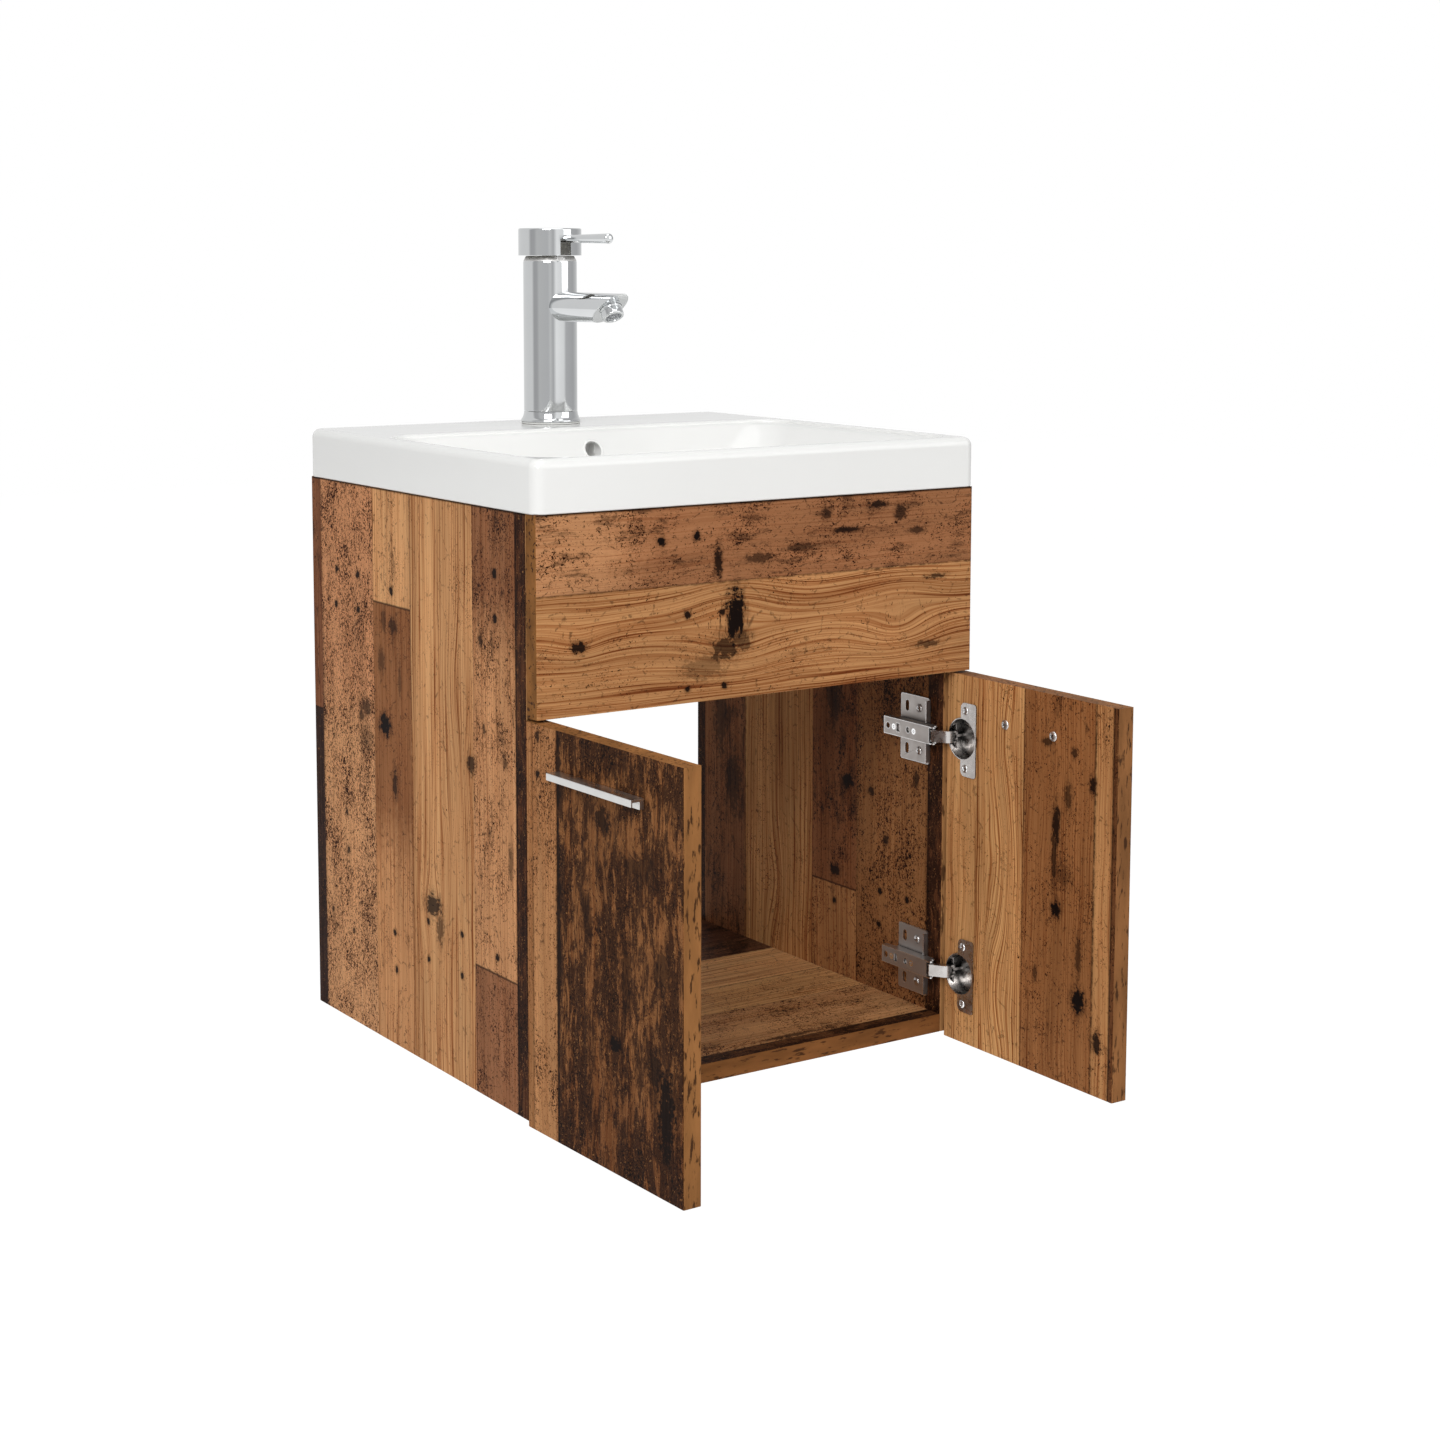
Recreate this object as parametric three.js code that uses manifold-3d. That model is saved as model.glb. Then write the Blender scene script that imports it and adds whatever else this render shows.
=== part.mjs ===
// Wall-hung vanity unit: a two-door cabinet in plank-look board, a ceramic basin
// that lies on it, a single-lever tap, a push-button waste and four concealed hinges.
// Millimetres, +Z up, +Y into the wall. The origin is the middle of the back face of
// the rear rail, on the wall. Both doors are modelled open.

import * as THREE from 'three';
import { mergeVertices } from 'three/addons/utils/BufferGeometryUtils.js';
import Module from 'manifold-3d';

const wasm = await Module();
wasm.setup();

// Clearances and shop values
const seam = 0.3;              // between pieces that lie on each other
const running_gap = 0.35;      // between pieces that turn or slide in each other
const overrun = 1.5;           // how far a cutter passes the face that it cuts
const edge_steps = 2;          // flats on the rounded edge of a board
const corner_steps = 4;        // flats on a rounded corner
const round_steps = 32;        // flats on a large turned piece
const fine_steps = 12;         // flats on a pin or a small turned piece
const hole_steps = 8;          // flats on a screw hole
const cup_steps = 24;          // flats on a hinge cup

// Carcass
const cabinet_width = 410;
const cabinet_depth = 380;     // with the apron
const cabinet_height = 458;
const board = 15;
const apron_height = 151;
const rail_height = 100;
const edge_round = 1;

// Doors
const door_board = 15;
const door_reveal = 0.5;       // side panel left bare at the hinge edge
const door_middle_gap = 3;
const door_top_gap = 2;
const door_drop = 2.5;         // below the bottom panel
const door_outset_open = 2;    // past the side of the cabinet when open
const swing_clearance = 0.3;   // between the turning edge and the carcass
const left_rest_deg = 88.5;
const right_rest_deg = 90;
const full_open_deg = 95;
const square_open_deg = 90;    // the door square to the cabinet's front

// Handles
const handle_length = 110;
const handle_reach = 11.5;
const handle_height = 7.8;
const handle_block = 4.4;      // thick part that takes the screws
const handle_web = 2.2;
const handle_lip_height = 5.4;
const handle_lip = 1.7;
const handle_below_door_top = 29;
const handle_screw_spacing = 57;
const handle_screw_radius = 2;
const handle_screw_head_radius = 4.2;
const handle_screw_head = 1.9;
const screw_head_top_share = 0.7;
const handle_screw_grip = 3;   // thread inside the handle

// Hinges
const hinge_from_door_bottom = 57;
const hinge_from_door_top = 53;
const cup_radius = 17.5;
const cup_depth = 11;
const cup_wall = 0.8;
const cup_edge_distance = 3;
const flange_length = 61;
const flange_width = 19;
const flange_thickness = 0.9;
const flange_corner = 2.5;
const flange_screw_spacing = 48;
const flange_screw_radius = 2;
const flange_screw_from_cup = 5.5;
const plate_length = 56;
const plate_width = 37.5;
const plate_thickness = 1.8;
const plate_setback = 16;
const plate_corner = 2;
const plate_lip_height = 3.2;
const plate_lip = 1.2;
const plate_hole_spacing = 36;
const plate_hole_setback = 13;  // from the front edge of the plate
const plate_slot_setback = 29;
const plate_hole_radius = 2.4;
const plate_slot_length = 9.5;
const arm_length = 60;
const arm_setback = 3.8;
const arm_width = 14.6;
const arm_metal = 1.1;
const arm_height = 12;
const arm_screw_radius = 2.6;
const arm_rear_screw = 5.5;    // from the rear end of the arm
const arm_window = 19;
const arm_window_length = 4.6;
const arm_window_width = 7;
const arm_front_screw = 32;
const ridge_width = 11.4;
const link_pin_radius = 0.8;
const outer_pin_inward = 10.1;  // arm pin of the outer link, from the side panel
const outer_pin_back = 0.9;
const outer_cup_pin_shift = 2.4;  // from the turning axis towards the carcass, door closed
const outer_link_width = 9.6;
const outer_link_metal = 1.2;
const outer_link_bow = 5.5;    // height of the bowed web over what it passes
const outer_eye_radius = 2;
const inner_pin_inward = 5.6;
const inner_pin_back = 4.5;
const inner_cup_pin_shift = 1.6;
const inner_link_width = 6.4;
const inner_link_bow = 2.2;
const inner_eye_radius = 1.8;
const link_clearance = 0.45;   // between a link and what it passes
const fin_thickness = 2;

// Basin
const basin_overhang = 1.7;
const basin_rim_height = 40.3;
const basin_plan_radius = 9;
const basin_top_round = 7;
const basin_skirt = 9;
const basin_deck = 12;
const rim_width = 11;
const deck_depth = 112;
const bowl_depth = 106;
const bowl_wall = 9;
const overflow_radius = 9;
const overflow_drop = 19;      // its centre below the rim
const overflow_duct_width = 16;
const overflow_duct_depth = 10;
const overflow_duct_set_back = 3;   // in front of the deck's edge
const overflow_duct_wall = 5;
const waste_seat_radius = 38;
const waste_place_share = 0.487;   // of the bowl's length, from its back

// Tap
const tap_from_wall = 53;
const tap_hole_radius = 17.5;
const tap_ring_radius = 26;
const tap_ring_height = 9;
const tap_ring_bore = 15;
const tap_gasket = 1.2;
const tap_body_radius = 23.3;
const tap_shoulder_height = 145;
const tap_shoulder = 4.6;
const tap_shoulder_inset = 2.4;
const tap_head_radius = 27.4;
const tap_head_wall = 1.9;
const tap_head_height = 23.5;
const tap_head_roof = 2.6;
const tap_head_chamfer = 0.9;
const tap_slot_width = 10.5;
const tap_hub_radius = 9;
const tap_hub_drop = 12.5;
const spout_height = 101.5;
const spout_radius = 12.6;
const spout_reach = 100;       // from the tap axis to the middle of the cut end
const spout_cut_deg = 32;
const waterway = 6;
const aerator_radius = 9.3;
const aerator_length = 9;
const aerator_insert = 6;
const aerator_wall = 1.3;
const cartridge_radius = 17.2;
const cartridge_height = 32;
const cartridge_nut_height = 9.5;
const cartridge_nut_bore = 14;
const rotor_radius = 13;
const rotor_height = 5;
const rotor_ear_top = 11.5;
const rotor_ear = 2.6;
const stem_width = 7.6;
const stem_pin_radius = 1.4;
const tilt_axis_above_shoulder = 2;
const lever_height = 14.3;     // pin lever above the foot of the head
const lever_root_radius = 3.2;
const lever_tip_radius = 4.3;
const lever_reach = 99.5;
const lever_end_share = 0.55;  // how round the end is
const stud_radius = 4;
const stud_offset = 9;
const stud_length = 62;
const stud_grip = 14;
const clamp_radius = 23;
const clamp_rubber = 3;
const clamp_plate = 2;
const stud_nut_across = 13;
const stud_nut_height = 6.5;
const inlet_radius = 4.4;
const inlet_depth = 16;
const inlet_spacing = 13;
const inlet_forward = 7;

// Waste
const waste_tube_radius = 20.6;
const waste_tube_wall = 2.6;
const waste_tube_length = 62;  // below the bowl
const waste_flange_radius = 31.5;
const waste_flange = 3;
const waste_gasket = 1.6;
const waste_gasket_radius = 30;
const waste_window_width = 12;
const waste_window_share = 0.8;
const waste_lower_gasket = 4;
const waste_nut_radius = 30;
const waste_nut_height = 11;
const waste_nut_sides = 8;
const waste_hub_radius = 7;
const waste_hub_length = 22;
const waste_rib = 2.4;
const waste_stem_radius = 3.6;
const plug_radius = 30;
const plug_thickness = 3.4;
const plug_dome = 3.2;
const plug_lift = 7;

// Wall brackets
const bracket_leg = 38;
const bracket_height = 46;
const bracket_metal = 2.5;
const bracket_hole_radius = 3.2;
const bracket_below_top = 14;

// Finishes seen on the object
const wood_side = { color: '#7b5331', roughness: 0.62, metalness: 0 };
const wood_light = { color: '#b07a44', roughness: 0.58, metalness: 0 };
const wood_dark = { color: '#4a2c1c', roughness: 0.66, metalness: 0 };
const ceramic = { color: '#f4f4f2', roughness: 0.12, metalness: 0 };
const chrome = { color: '#d6d8da', roughness: 0.07, metalness: 1 };
const nickel = { color: '#bfbcbb', roughness: 0.24, metalness: 1 };
const aluminium = { color: '#dedcda', roughness: 0.32, metalness: 1 };
const zinc = { color: '#a9aaa9', roughness: 0.42, metalness: 1 };
const rubber = { color: '#26262a', roughness: 0.8, metalness: 0 };
const grey_plastic = { color: '#c9ccd0', roughness: 0.45, metalness: 0 };
const white_plastic = { color: '#ecebe6', roughness: 0.4, metalness: 0 };

// Sizes that follow from the ones above. Heights here start at the foot of the side panels.
const half_width = cabinet_width / 2;
const carcass_front = -(cabinet_depth - board);
const panel_inner = half_width - board;
const apron_foot = cabinet_height - apron_height;
const basin_foot = cabinet_height + seam;
const rim_top = basin_foot + basin_rim_height;
const basin_half = half_width + basin_overhang;
const basin_front = -(cabinet_depth + basin_overhang);
const bowl_length = -basin_front - rim_width - deck_depth;
const waste_from_wall = deck_depth + bowl_length * waste_place_share;
const door_foot = -door_drop;
const door_top = apron_foot - door_top_gap;
const door_width = half_width - door_reveal - door_middle_gap / 2;
const turn_inset = (door_board - door_outset_open - door_reveal) / 2;
const door_stand_off = (Math.SQRT2 - 1) * (turn_inset - edge_round) + swing_clearance;
const turn_in = door_reveal + turn_inset;        // turning axis, in from the cabinet's side
const turn_out = door_stand_off + turn_inset;    // and out from the carcass
const hinge_heights = {
    lower: door_foot + hinge_from_door_bottom,
    upper: door_top - hinge_from_door_top,
};
const waste_shelf = bowl_wall + overflow_duct_depth + overflow_duct_wall;
const origin_height = cabinet_height - rail_height / 2;

// Small helpers

function closedSolid(geometry) {
    const bare = geometry.index ? geometry.toNonIndexed() : geometry.clone();
    bare.deleteAttribute('normal');
    bare.deleteAttribute('uv');
    const merged = mergeVertices(bare);
    const vertProperties = new Float32Array(merged.attributes.position.array);
    const triVerts = new Uint32Array(merged.index.array);
    return new wasm.Manifold(new wasm.Mesh({ numProp: 3, vertProperties, triVerts }));
}

function geometryOf(solid) {
    const mesh = solid.getMesh();
    const positions = new Float32Array(mesh.numVert * 3);
    for (let vertex = 0; vertex < mesh.numVert; vertex += 1) {
        for (let axis = 0; axis < 3; axis += 1) {
            positions[vertex * 3 + axis] = mesh.vertProperties[vertex * mesh.numProp + axis];
        }
    }
    const geometry = new THREE.BufferGeometry();
    geometry.setAttribute('position', new THREE.BufferAttribute(positions, 3));
    geometry.setIndex(new THREE.BufferAttribute(new Uint32Array(mesh.triVerts), 1));
    return geometry;
}

function joined(first, ...others) {
    return others.reduce((whole, piece) => whole.add(piece), first);
}

function cut(first, ...cutters) {
    return cutters.reduce((rest, cutter) => rest.subtract(cutter), first);
}

function flipFaces(geometry) {
    const index = geometry.index.array;
    for (let i = 0; i < index.length; i += 3) {
        [index[i], index[i + 1]] = [index[i + 1], index[i]];
    }
    return geometry;
}

function mirrored(geometry) {
    return flipFaces(geometry.scale(-1, 1, 1));
}

function piece(name, solid, finish, onRight = false) {
    const geometry = geometryOf(solid);
    if (onRight) mirrored(geometry);
    geometry.computeVertexNormals();
    const mesh = new THREE.Mesh(geometry, new THREE.MeshStandardMaterial(finish));
    mesh.name = name;
    return mesh;
}

function block(x0, x1, y0, y1, z0, z1) {
    const geometry = new THREE.BoxGeometry(x1 - x0, y1 - y0, z1 - z0);
    return closedSolid(geometry.translate((x0 + x1) / 2, (y0 + y1) / 2, (z0 + z1) / 2));
}

function roundedShape(x0, x1, y0, y1, radius) {
    const shape = new THREE.Shape();
    shape.absarc(x1 - radius, y0 + radius, radius, -Math.PI / 2, 0);
    shape.absarc(x1 - radius, y1 - radius, radius, 0, Math.PI / 2);
    shape.absarc(x0 + radius, y1 - radius, radius, Math.PI / 2, Math.PI);
    shape.absarc(x0 + radius, y0 + radius, radius, Math.PI, Math.PI * 3 / 2);
    return shape;
}

function prism(shape, z0, z1, steps = corner_steps) {
    const options = { depth: z1 - z0, bevelEnabled: false, curveSegments: steps };
    return closedSolid(new THREE.ExtrudeGeometry(shape, options).translate(0, 0, z0));
}

function disc(radius, z0, z1, x = 0, y = 0, steps = round_steps) {
    const geometry = new THREE.CylinderGeometry(radius, radius, z1 - z0, steps);
    return closedSolid(geometry.rotateX(Math.PI / 2).translate(x, y, (z0 + z1) / 2));
}

// A turned solid. The profile lists [radius, height] from the axis, up the outside, to the axis.
function turned(profile, steps = round_steps) {
    const points = profile.map(([radius, height]) => new THREE.Vector2(radius, height));
    return closedSolid(new THREE.LatheGeometry(points, steps).rotateX(Math.PI / 2));
}

// A rod of the given radius along X or Y, between two places on that axis.
function rod(axis, radius, from, to, at, steps = fine_steps, radiusAtTo = radius) {
    const geometry = new THREE.CylinderGeometry(radiusAtTo, radius, to - from, steps);
    geometry.translate(0, (from + to) / 2, 0);
    if (axis === 'x') geometry.rotateZ(-Math.PI / 2);
    return closedSolid(geometry.translate(at.x ?? 0, at.y ?? 0, at.z ?? 0));
}

// Skin over a stack of rings that all have the same number of points.
function loft(rings) {
    const count = rings[0].length;
    const positions = rings.flat().flatMap((point) => [point.x, point.y, point.z]);
    const index = [];
    for (let level = 0; level + 1 < rings.length; level += 1) {
        for (let i = 0; i < count; i += 1) {
            const a = level * count + i;
            const b = level * count + (i + 1) % count;
            index.push(a, b, b + count, a, b + count, a + count);
        }
    }
    for (let i = 1; i + 1 < count; i += 1) {
        const top = (rings.length - 1) * count;
        index.push(0, i + 1, i);
        index.push(top, top + i, top + i + 1);
    }
    const geometry = new THREE.BufferGeometry();
    geometry.setAttribute('position', new THREE.Float32BufferAttribute(positions, 3));
    geometry.setIndex(index);
    return closedSolid(geometry);
}

// One ring of a loft: a rectangle with round corners, anticlockwise seen from above.
function roundedRing(x0, x1, y0, y1, radius, z, steps) {
    const corners = [
        [x1 - radius, y0 + radius, -Math.PI / 2],
        [x1 - radius, y1 - radius, 0],
        [x0 + radius, y1 - radius, Math.PI / 2],
        [x0 + radius, y0 + radius, Math.PI],
    ];
    return corners.flatMap(([x, y, start]) => Array.from({ length: steps + 1 }, (_, i) => {
        const angle = start + (i / steps) * Math.PI / 2;
        return new THREE.Vector3(x + radius * Math.cos(angle), y + radius * Math.sin(angle), z);
    }));
}

// Carcass: side panels, bottom, apron over the front edges, rail on the wall, brackets

function carcass() {
    const group = new THREE.Group();
    const clear = panel_inner - seam;
    const side = prism(
        roundedShape(-half_width, -panel_inner, carcass_front + seam, 0, edge_round),
        0, cabinet_height, edge_steps,
    );
    group.add(piece('side_panel_left', side, wood_side));
    group.add(piece('side_panel_right', side, wood_side, true));
    const bottom = block(-clear, clear, carcass_front + seam, 0, 0, board);
    group.add(piece('bottom_panel', bottom, wood_light));
    const apron = prism(
        roundedShape(-half_width, half_width, -cabinet_depth, carcass_front, edge_round),
        apron_foot, cabinet_height, edge_steps,
    );
    group.add(piece('front_apron', apron, wood_light));
    const rail = block(-clear, clear, -board, 0, cabinet_height - rail_height, cabinet_height);
    group.add(piece('rear_rail', rail, wood_light));
    group.add(piece('wall_bracket_left', wallBracket(), zinc));
    group.add(piece('wall_bracket_right', wallBracket(), zinc, true));
    return group;
}

// Bent steel angle in the corner of the left side panel and the rear rail.
function wallBracket() {
    const x0 = -panel_inner + seam;
    const y1 = -board - seam;
    const top = cabinet_height - bracket_below_top;
    const foot = top - bracket_height;
    const on_side = block(x0, x0 + bracket_metal, y1 - bracket_leg, y1, foot, top);
    const on_rail = block(x0, x0 + bracket_leg, y1 - bracket_metal, y1, foot, top);
    const middle = (foot + top) / 2;
    const past_rail = { x: x0 + bracket_leg / 2, z: middle };
    const wall_hole = rod(
        'y', bracket_hole_radius, y1 - bracket_metal - overrun, y1 + overrun, past_rail,
        hole_steps,
    );
    const side_holes = [-1, 1].map((sign) => rod(
        'x', bracket_hole_radius, x0 - overrun, x0 + bracket_metal + overrun,
        { y: y1 - bracket_leg / 2, z: middle + sign * bracket_height / 4 }, hole_steps,
    ));
    return cut(joined(on_side, on_rail), wall_hole, ...side_holes);
}

// Basin. The bowl is a loft of rounded rectangles. Each row of shares gives: depth below
// the rim, then how far the ring has come in from the bowl's mouth towards the waste, at
// the sides, the front and the back, and the corner radius as a share of the ring's depth.

const bowl_shares = [
    [0.00, 0.000, 0.000, 0.000, 0.11],
    [0.03, 0.036, 0.045, 0.030, 0.12],
    [0.10, 0.090, 0.115, 0.085, 0.14],
    [0.24, 0.176, 0.220, 0.170, 0.17],
    [0.40, 0.235, 0.300, 0.230, 0.20],
    [0.60, 0.310, 0.390, 0.310, 0.25],
    [0.80, 0.405, 0.490, 0.420, 0.32],
    [0.93, 0.545, 0.620, 0.570, 0.42],
];
const bowl_corner_steps = 7;
const round_share_at_wall = 0.5;     // the top edge is rounded less along the wall
const plan_radius_share = 0.6;       // how far the corners seen from above tighten with it

function bowlRings(grow) {
    const mouth = basin_half - rim_width;
    const front = basin_front + rim_width;
    const back = -deck_depth;
    const middle = -waste_from_wall;
    const rings = bowl_shares.map(([depth, side_in, front_in, back_in, corner]) => {
        const half = mouth + (waste_seat_radius - mouth) * side_in + grow;
        const y0 = front + (middle - waste_seat_radius - front) * front_in - grow;
        const y1 = back + (middle + waste_seat_radius - back) * back_in + grow;
        const radius = (y1 - y0) * corner;
        return roundedRing(-half, half, y0, y1, radius, rim_top - bowl_depth * depth - grow,
            bowl_corner_steps);
    });
    const seat = waste_seat_radius + grow;
    rings.push(roundedRing(-seat, seat, middle - seat, middle + seat, seat - seam,
        rim_top - bowl_depth - grow, bowl_corner_steps));
    return rings.reverse();
}

// The bowl's inside, carried on upwards past the rim.
function bowlInside() {
    const rings = bowlRings(0);
    const mouth = rings[rings.length - 1];
    const above = mouth.map((point) => point.clone().setZ(rim_top + overrun));
    return loft([...rings, above]);
}

// The bowl's outside, ending inside the deck.
function bowlOutside() {
    return loft(bowlRings(bowl_wall));
}

function basinBlock() {
    const half = basin_half;
    const levels = [[basin_foot, 0]];
    for (let i = 0; i <= corner_steps; i += 1) {
        const angle = (i / corner_steps) * Math.PI / 2;
        const height = rim_top - basin_top_round * (1 - Math.sin(angle));
        levels.push([height, basin_top_round * (1 - Math.cos(angle))]);
    }
    return loft(levels.map(([z, inset]) => roundedRing(
        -half + inset, half - inset, basin_front + inset, -inset * round_share_at_wall,
        basin_plan_radius - inset * plan_radius_share, z, bowl_corner_steps,
    )));
}

function basinHollow() {
    const half = basin_half - basin_skirt;
    return prism(
        roundedShape(-half, half, basin_front + basin_skirt, -basin_skirt, basin_skirt / 2),
        basin_foot - overrun, rim_top - basin_deck,
    );
}

// Duct cast behind and under the bowl, from the overflow hole to the waste. Grown by its
// wall it is the outside of the duct.
function overflowDuct(grow) {
    const half = overflow_duct_width / 2 + grow;
    const shaft_front = -deck_depth - overflow_duct_set_back;
    const foot = rim_top - bowl_depth - bowl_wall - overflow_duct_depth;
    const shaft_top = rim_top - overflow_drop + overflow_radius / 2;
    const shaft = block(-half, half, shaft_front - grow, shaft_front + overflow_duct_depth + grow,
        foot - grow, shaft_top + grow);
    const run = block(-half, half, -waste_from_wall, shaft_front + overflow_duct_depth + grow,
        foot - grow, foot + overflow_duct_depth + grow);
    return joined(shaft, run);
}

function basin() {
    const waste_hole = disc(waste_tube_radius + seam, rim_top - bowl_depth - cabinet_height,
        rim_top, 0, -waste_from_wall);
    const tap_hole = disc(tap_hole_radius, rim_top - basin_deck - overrun, rim_top + overrun,
        0, -tap_from_wall);
    const hole_at = { x: 0, z: rim_top - overflow_drop };
    const overflow_hole = rod('y', overflow_radius, -waste_from_wall, -deck_depth, hole_at,
        round_steps);
    const boss = disc(waste_seat_radius - bowl_wall / 2, rim_top - bowl_depth - waste_shelf,
        rim_top - bowl_depth - seam, 0, -waste_from_wall);
    const shell = joined(cut(basinBlock(), basinHollow()), bowlOutside(),
        overflowDuct(overflow_duct_wall), boss);
    return piece('basin', cut(shell, bowlInside(), overflowDuct(0), overflow_hole,
        waste_hole, tap_hole), ceramic);
}

// Tap. Its group stands on the deck, on the tap's axis, and faces the front.

function tap() {
    const group = new THREE.Group();
    group.position.set(0, -tap_from_wall, rim_top + seam);
    group.add(piece('tap_gasket', tapGasket(), rubber));
    group.add(piece('tap_base_ring', tapBaseRing(), chrome));
    group.add(piece('tap_body', tapBody(), chrome));
    group.add(piece('tap_aerator', aerator(), chrome));
    group.add(piece('tap_cartridge', cartridge(), white_plastic));
    group.add(piece('tap_cartridge_nut', cartridgeNut(), nickel));
    group.add(piece('tap_rotor', rotor(), white_plastic));
    group.add(piece('tap_stem', stem(), nickel));
    group.add(piece('tap_head', tapHead(), chrome));
    group.add(piece('tap_lever', tapLever(), chrome));
    group.add(...tapFixings());
    return group;
}

const ring_foot = tap_gasket + seam;
const body_foot = ring_foot + tap_ring_height + seam;
const head_foot = tap_shoulder_height + seam;
const cartridge_foot = tap_shoulder_height - cartridge_height - cartridge_nut_height;
const rotor_foot = cartridge_foot + cartridge_height + seam;
const tilt_axis = tap_shoulder_height + tilt_axis_above_shoulder;
const lever_axis = head_foot + lever_height;

function tapGasket() {
    const ring = disc(tap_ring_radius - seam, 0, tap_gasket);
    return cut(ring, disc(tap_ring_bore, -overrun, tap_gasket + overrun));
}

// Flared skirt between the deck and the body.
function tapBaseRing() {
    const flare = tap_ring_radius - tap_body_radius;
    const profile = [
        [0, ring_foot],
        [tap_ring_radius, ring_foot],
        [tap_ring_radius, ring_foot + tap_ring_height / 6],
        [tap_ring_radius - flare * 0.45, ring_foot + tap_ring_height / 3],
        [tap_ring_radius - flare * 0.85, ring_foot + tap_ring_height * 2 / 3],
        [tap_body_radius, ring_foot + tap_ring_height],
        [0, ring_foot + tap_ring_height],
    ];
    return cut(turned(profile), disc(tap_ring_bore, 0, body_foot + overrun));
}

// A cylinder that lies along the spout and is cut off at a slant, below and in front.
function spoutEnd(radius, from, reach, steps) {
    const spout = rod('y', radius, -reach - spout_radius * 3, from, { z: spout_height }, steps);
    const slant = THREE.MathUtils.degToRad(spout_cut_deg);
    const size = spout_radius * 8;
    const cutter = new THREE.BoxGeometry(size, size, size).translate(0, 0, -size / 2);
    cutter.rotateX(-slant).translate(0, -reach, spout_height);
    return cut(spout, closedSolid(cutter));
}

function tapBody() {
    const profile = [
        [0, body_foot],
        [tap_body_radius, body_foot],
        [tap_body_radius, tap_shoulder_height - tap_shoulder],
        [tap_body_radius - tap_shoulder_inset, tap_shoulder_height],
        [0, tap_shoulder_height],
    ];
    const spout = spoutEnd(spout_radius, -tap_body_radius / 2, spout_reach, round_steps);
    const socket = disc(cartridge_radius + seam, cartridge_foot - seam,
        tap_shoulder_height + overrun);
    const feed = disc(waterway, spout_height - waterway, tap_shoulder_height);
    const bore = rod('y', waterway, -spout_reach - aerator_insert, waterway,
        { z: spout_height });
    const mouth = aeratorBarrel(aerator_radius + seam, -aerator_insert - seam, spout_radius);
    const stud = disc(stud_radius + seam, body_foot - overrun, body_foot + stud_grip + seam,
        0, stud_offset, fine_steps);
    const inlets = [-1, 1].map((sign) => disc(inlet_radius, body_foot - overrun,
        body_foot + inlet_depth, sign * inlet_spacing / 2, -inlet_forward, fine_steps));
    return cut(joined(turned(profile), spout), socket, feed, bore, mouth, stud, ...inlets);
}

// A short barrel square to the spout's slanted end; distances run outwards from that face.
function aeratorBarrel(radius, from, to) {
    const slant = THREE.MathUtils.degToRad(spout_cut_deg);
    const geometry = new THREE.CylinderGeometry(radius, radius, to - from, round_steps);
    geometry.rotateX(Math.PI / 2).translate(0, 0, -(from + to) / 2);
    return closedSolid(geometry.rotateX(-slant).translate(0, -spout_reach, spout_height));
}

function aerator() {
    const barrel = aeratorBarrel(aerator_radius, -aerator_insert, aerator_length);
    const hollow = aeratorBarrel(aerator_radius - aerator_wall * 2, aerator_length - aerator_wall,
        aerator_length + overrun);
    const passage = aeratorBarrel(waterway - aerator_wall, -aerator_insert - overrun,
        aerator_length + overrun);
    return cut(barrel, hollow, passage);
}

function cartridge() {
    return disc(cartridge_radius, cartridge_foot, cartridge_foot + cartridge_height - seam);
}

function cartridgeNut() {
    const foot = cartridge_foot + cartridge_height;
    const top = foot + cartridge_nut_height - seam;
    return cut(disc(cartridge_radius, foot, top), disc(cartridge_nut_bore, foot - overrun,
        top + overrun));
}

// Turning part of the cartridge, with two ears that carry the pin of the stem.
function rotor() {
    const base = disc(rotor_radius, rotor_foot, rotor_foot + rotor_height);
    const inner = stem_width / 2 + running_gap;
    const ears = [-1, 1].map((sign) => {
        const [x0, x1] = [sign * inner, sign * (inner + rotor_ear)].sort((a, b) => a - b);
        return block(x0, x1, -rotor_ear, rotor_ear, rotor_foot + rotor_height - seam,
            rotor_foot + rotor_ear_top + tilt_axis_above_shoulder);
    });
    const reach = inner + rotor_ear;
    const pin = rod('x', stem_pin_radius, -reach + rotor_ear / 2, reach - rotor_ear / 2,
        { z: tilt_axis });
    return joined(base, ...ears, pin);
}

// Square stem that rocks on the rotor's pin and carries the head.
function stem() {
    const half = stem_width / 2;
    const foot = rotor_foot + rotor_height + running_gap * 3;
    const bar = block(-half, half, -half, half, foot, lever_axis - lever_root_radius - seam);
    return cut(bar, rod('x', stem_pin_radius + running_gap, -stem_width, stem_width,
        { z: tilt_axis }));
}

function tapHead() {
    const top = head_foot + tap_head_height;
    const profile = [
        [0, head_foot],
        [tap_head_radius, head_foot],
        [tap_head_radius, top - tap_head_chamfer],
        [tap_head_radius - tap_head_chamfer, top],
        [0, top],
    ];
    const hollow = disc(tap_head_radius - tap_head_wall, head_foot - overrun, top - tap_head_roof);
    const hub_foot = top - tap_head_roof - tap_hub_drop;
    const hub = disc(tap_hub_radius, hub_foot, top - tap_head_roof + seam);
    const half = tap_slot_width / 2;
    const slot = block(-half, half, -tap_head_radius - overrun, -tap_hub_radius - seam,
        head_foot - overrun, lever_axis);
    const square = stem_width / 2 + seam;
    const socket = block(-square, square, -square, square, hub_foot - overrun,
        lever_axis - lever_root_radius);
    const pin_hole = rod('y', lever_root_radius + seam, -tap_head_radius - overrun, 0,
        { z: lever_axis });
    return cut(joined(cut(turned(profile), hollow), hub), slot, socket, pin_hole);
}

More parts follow.
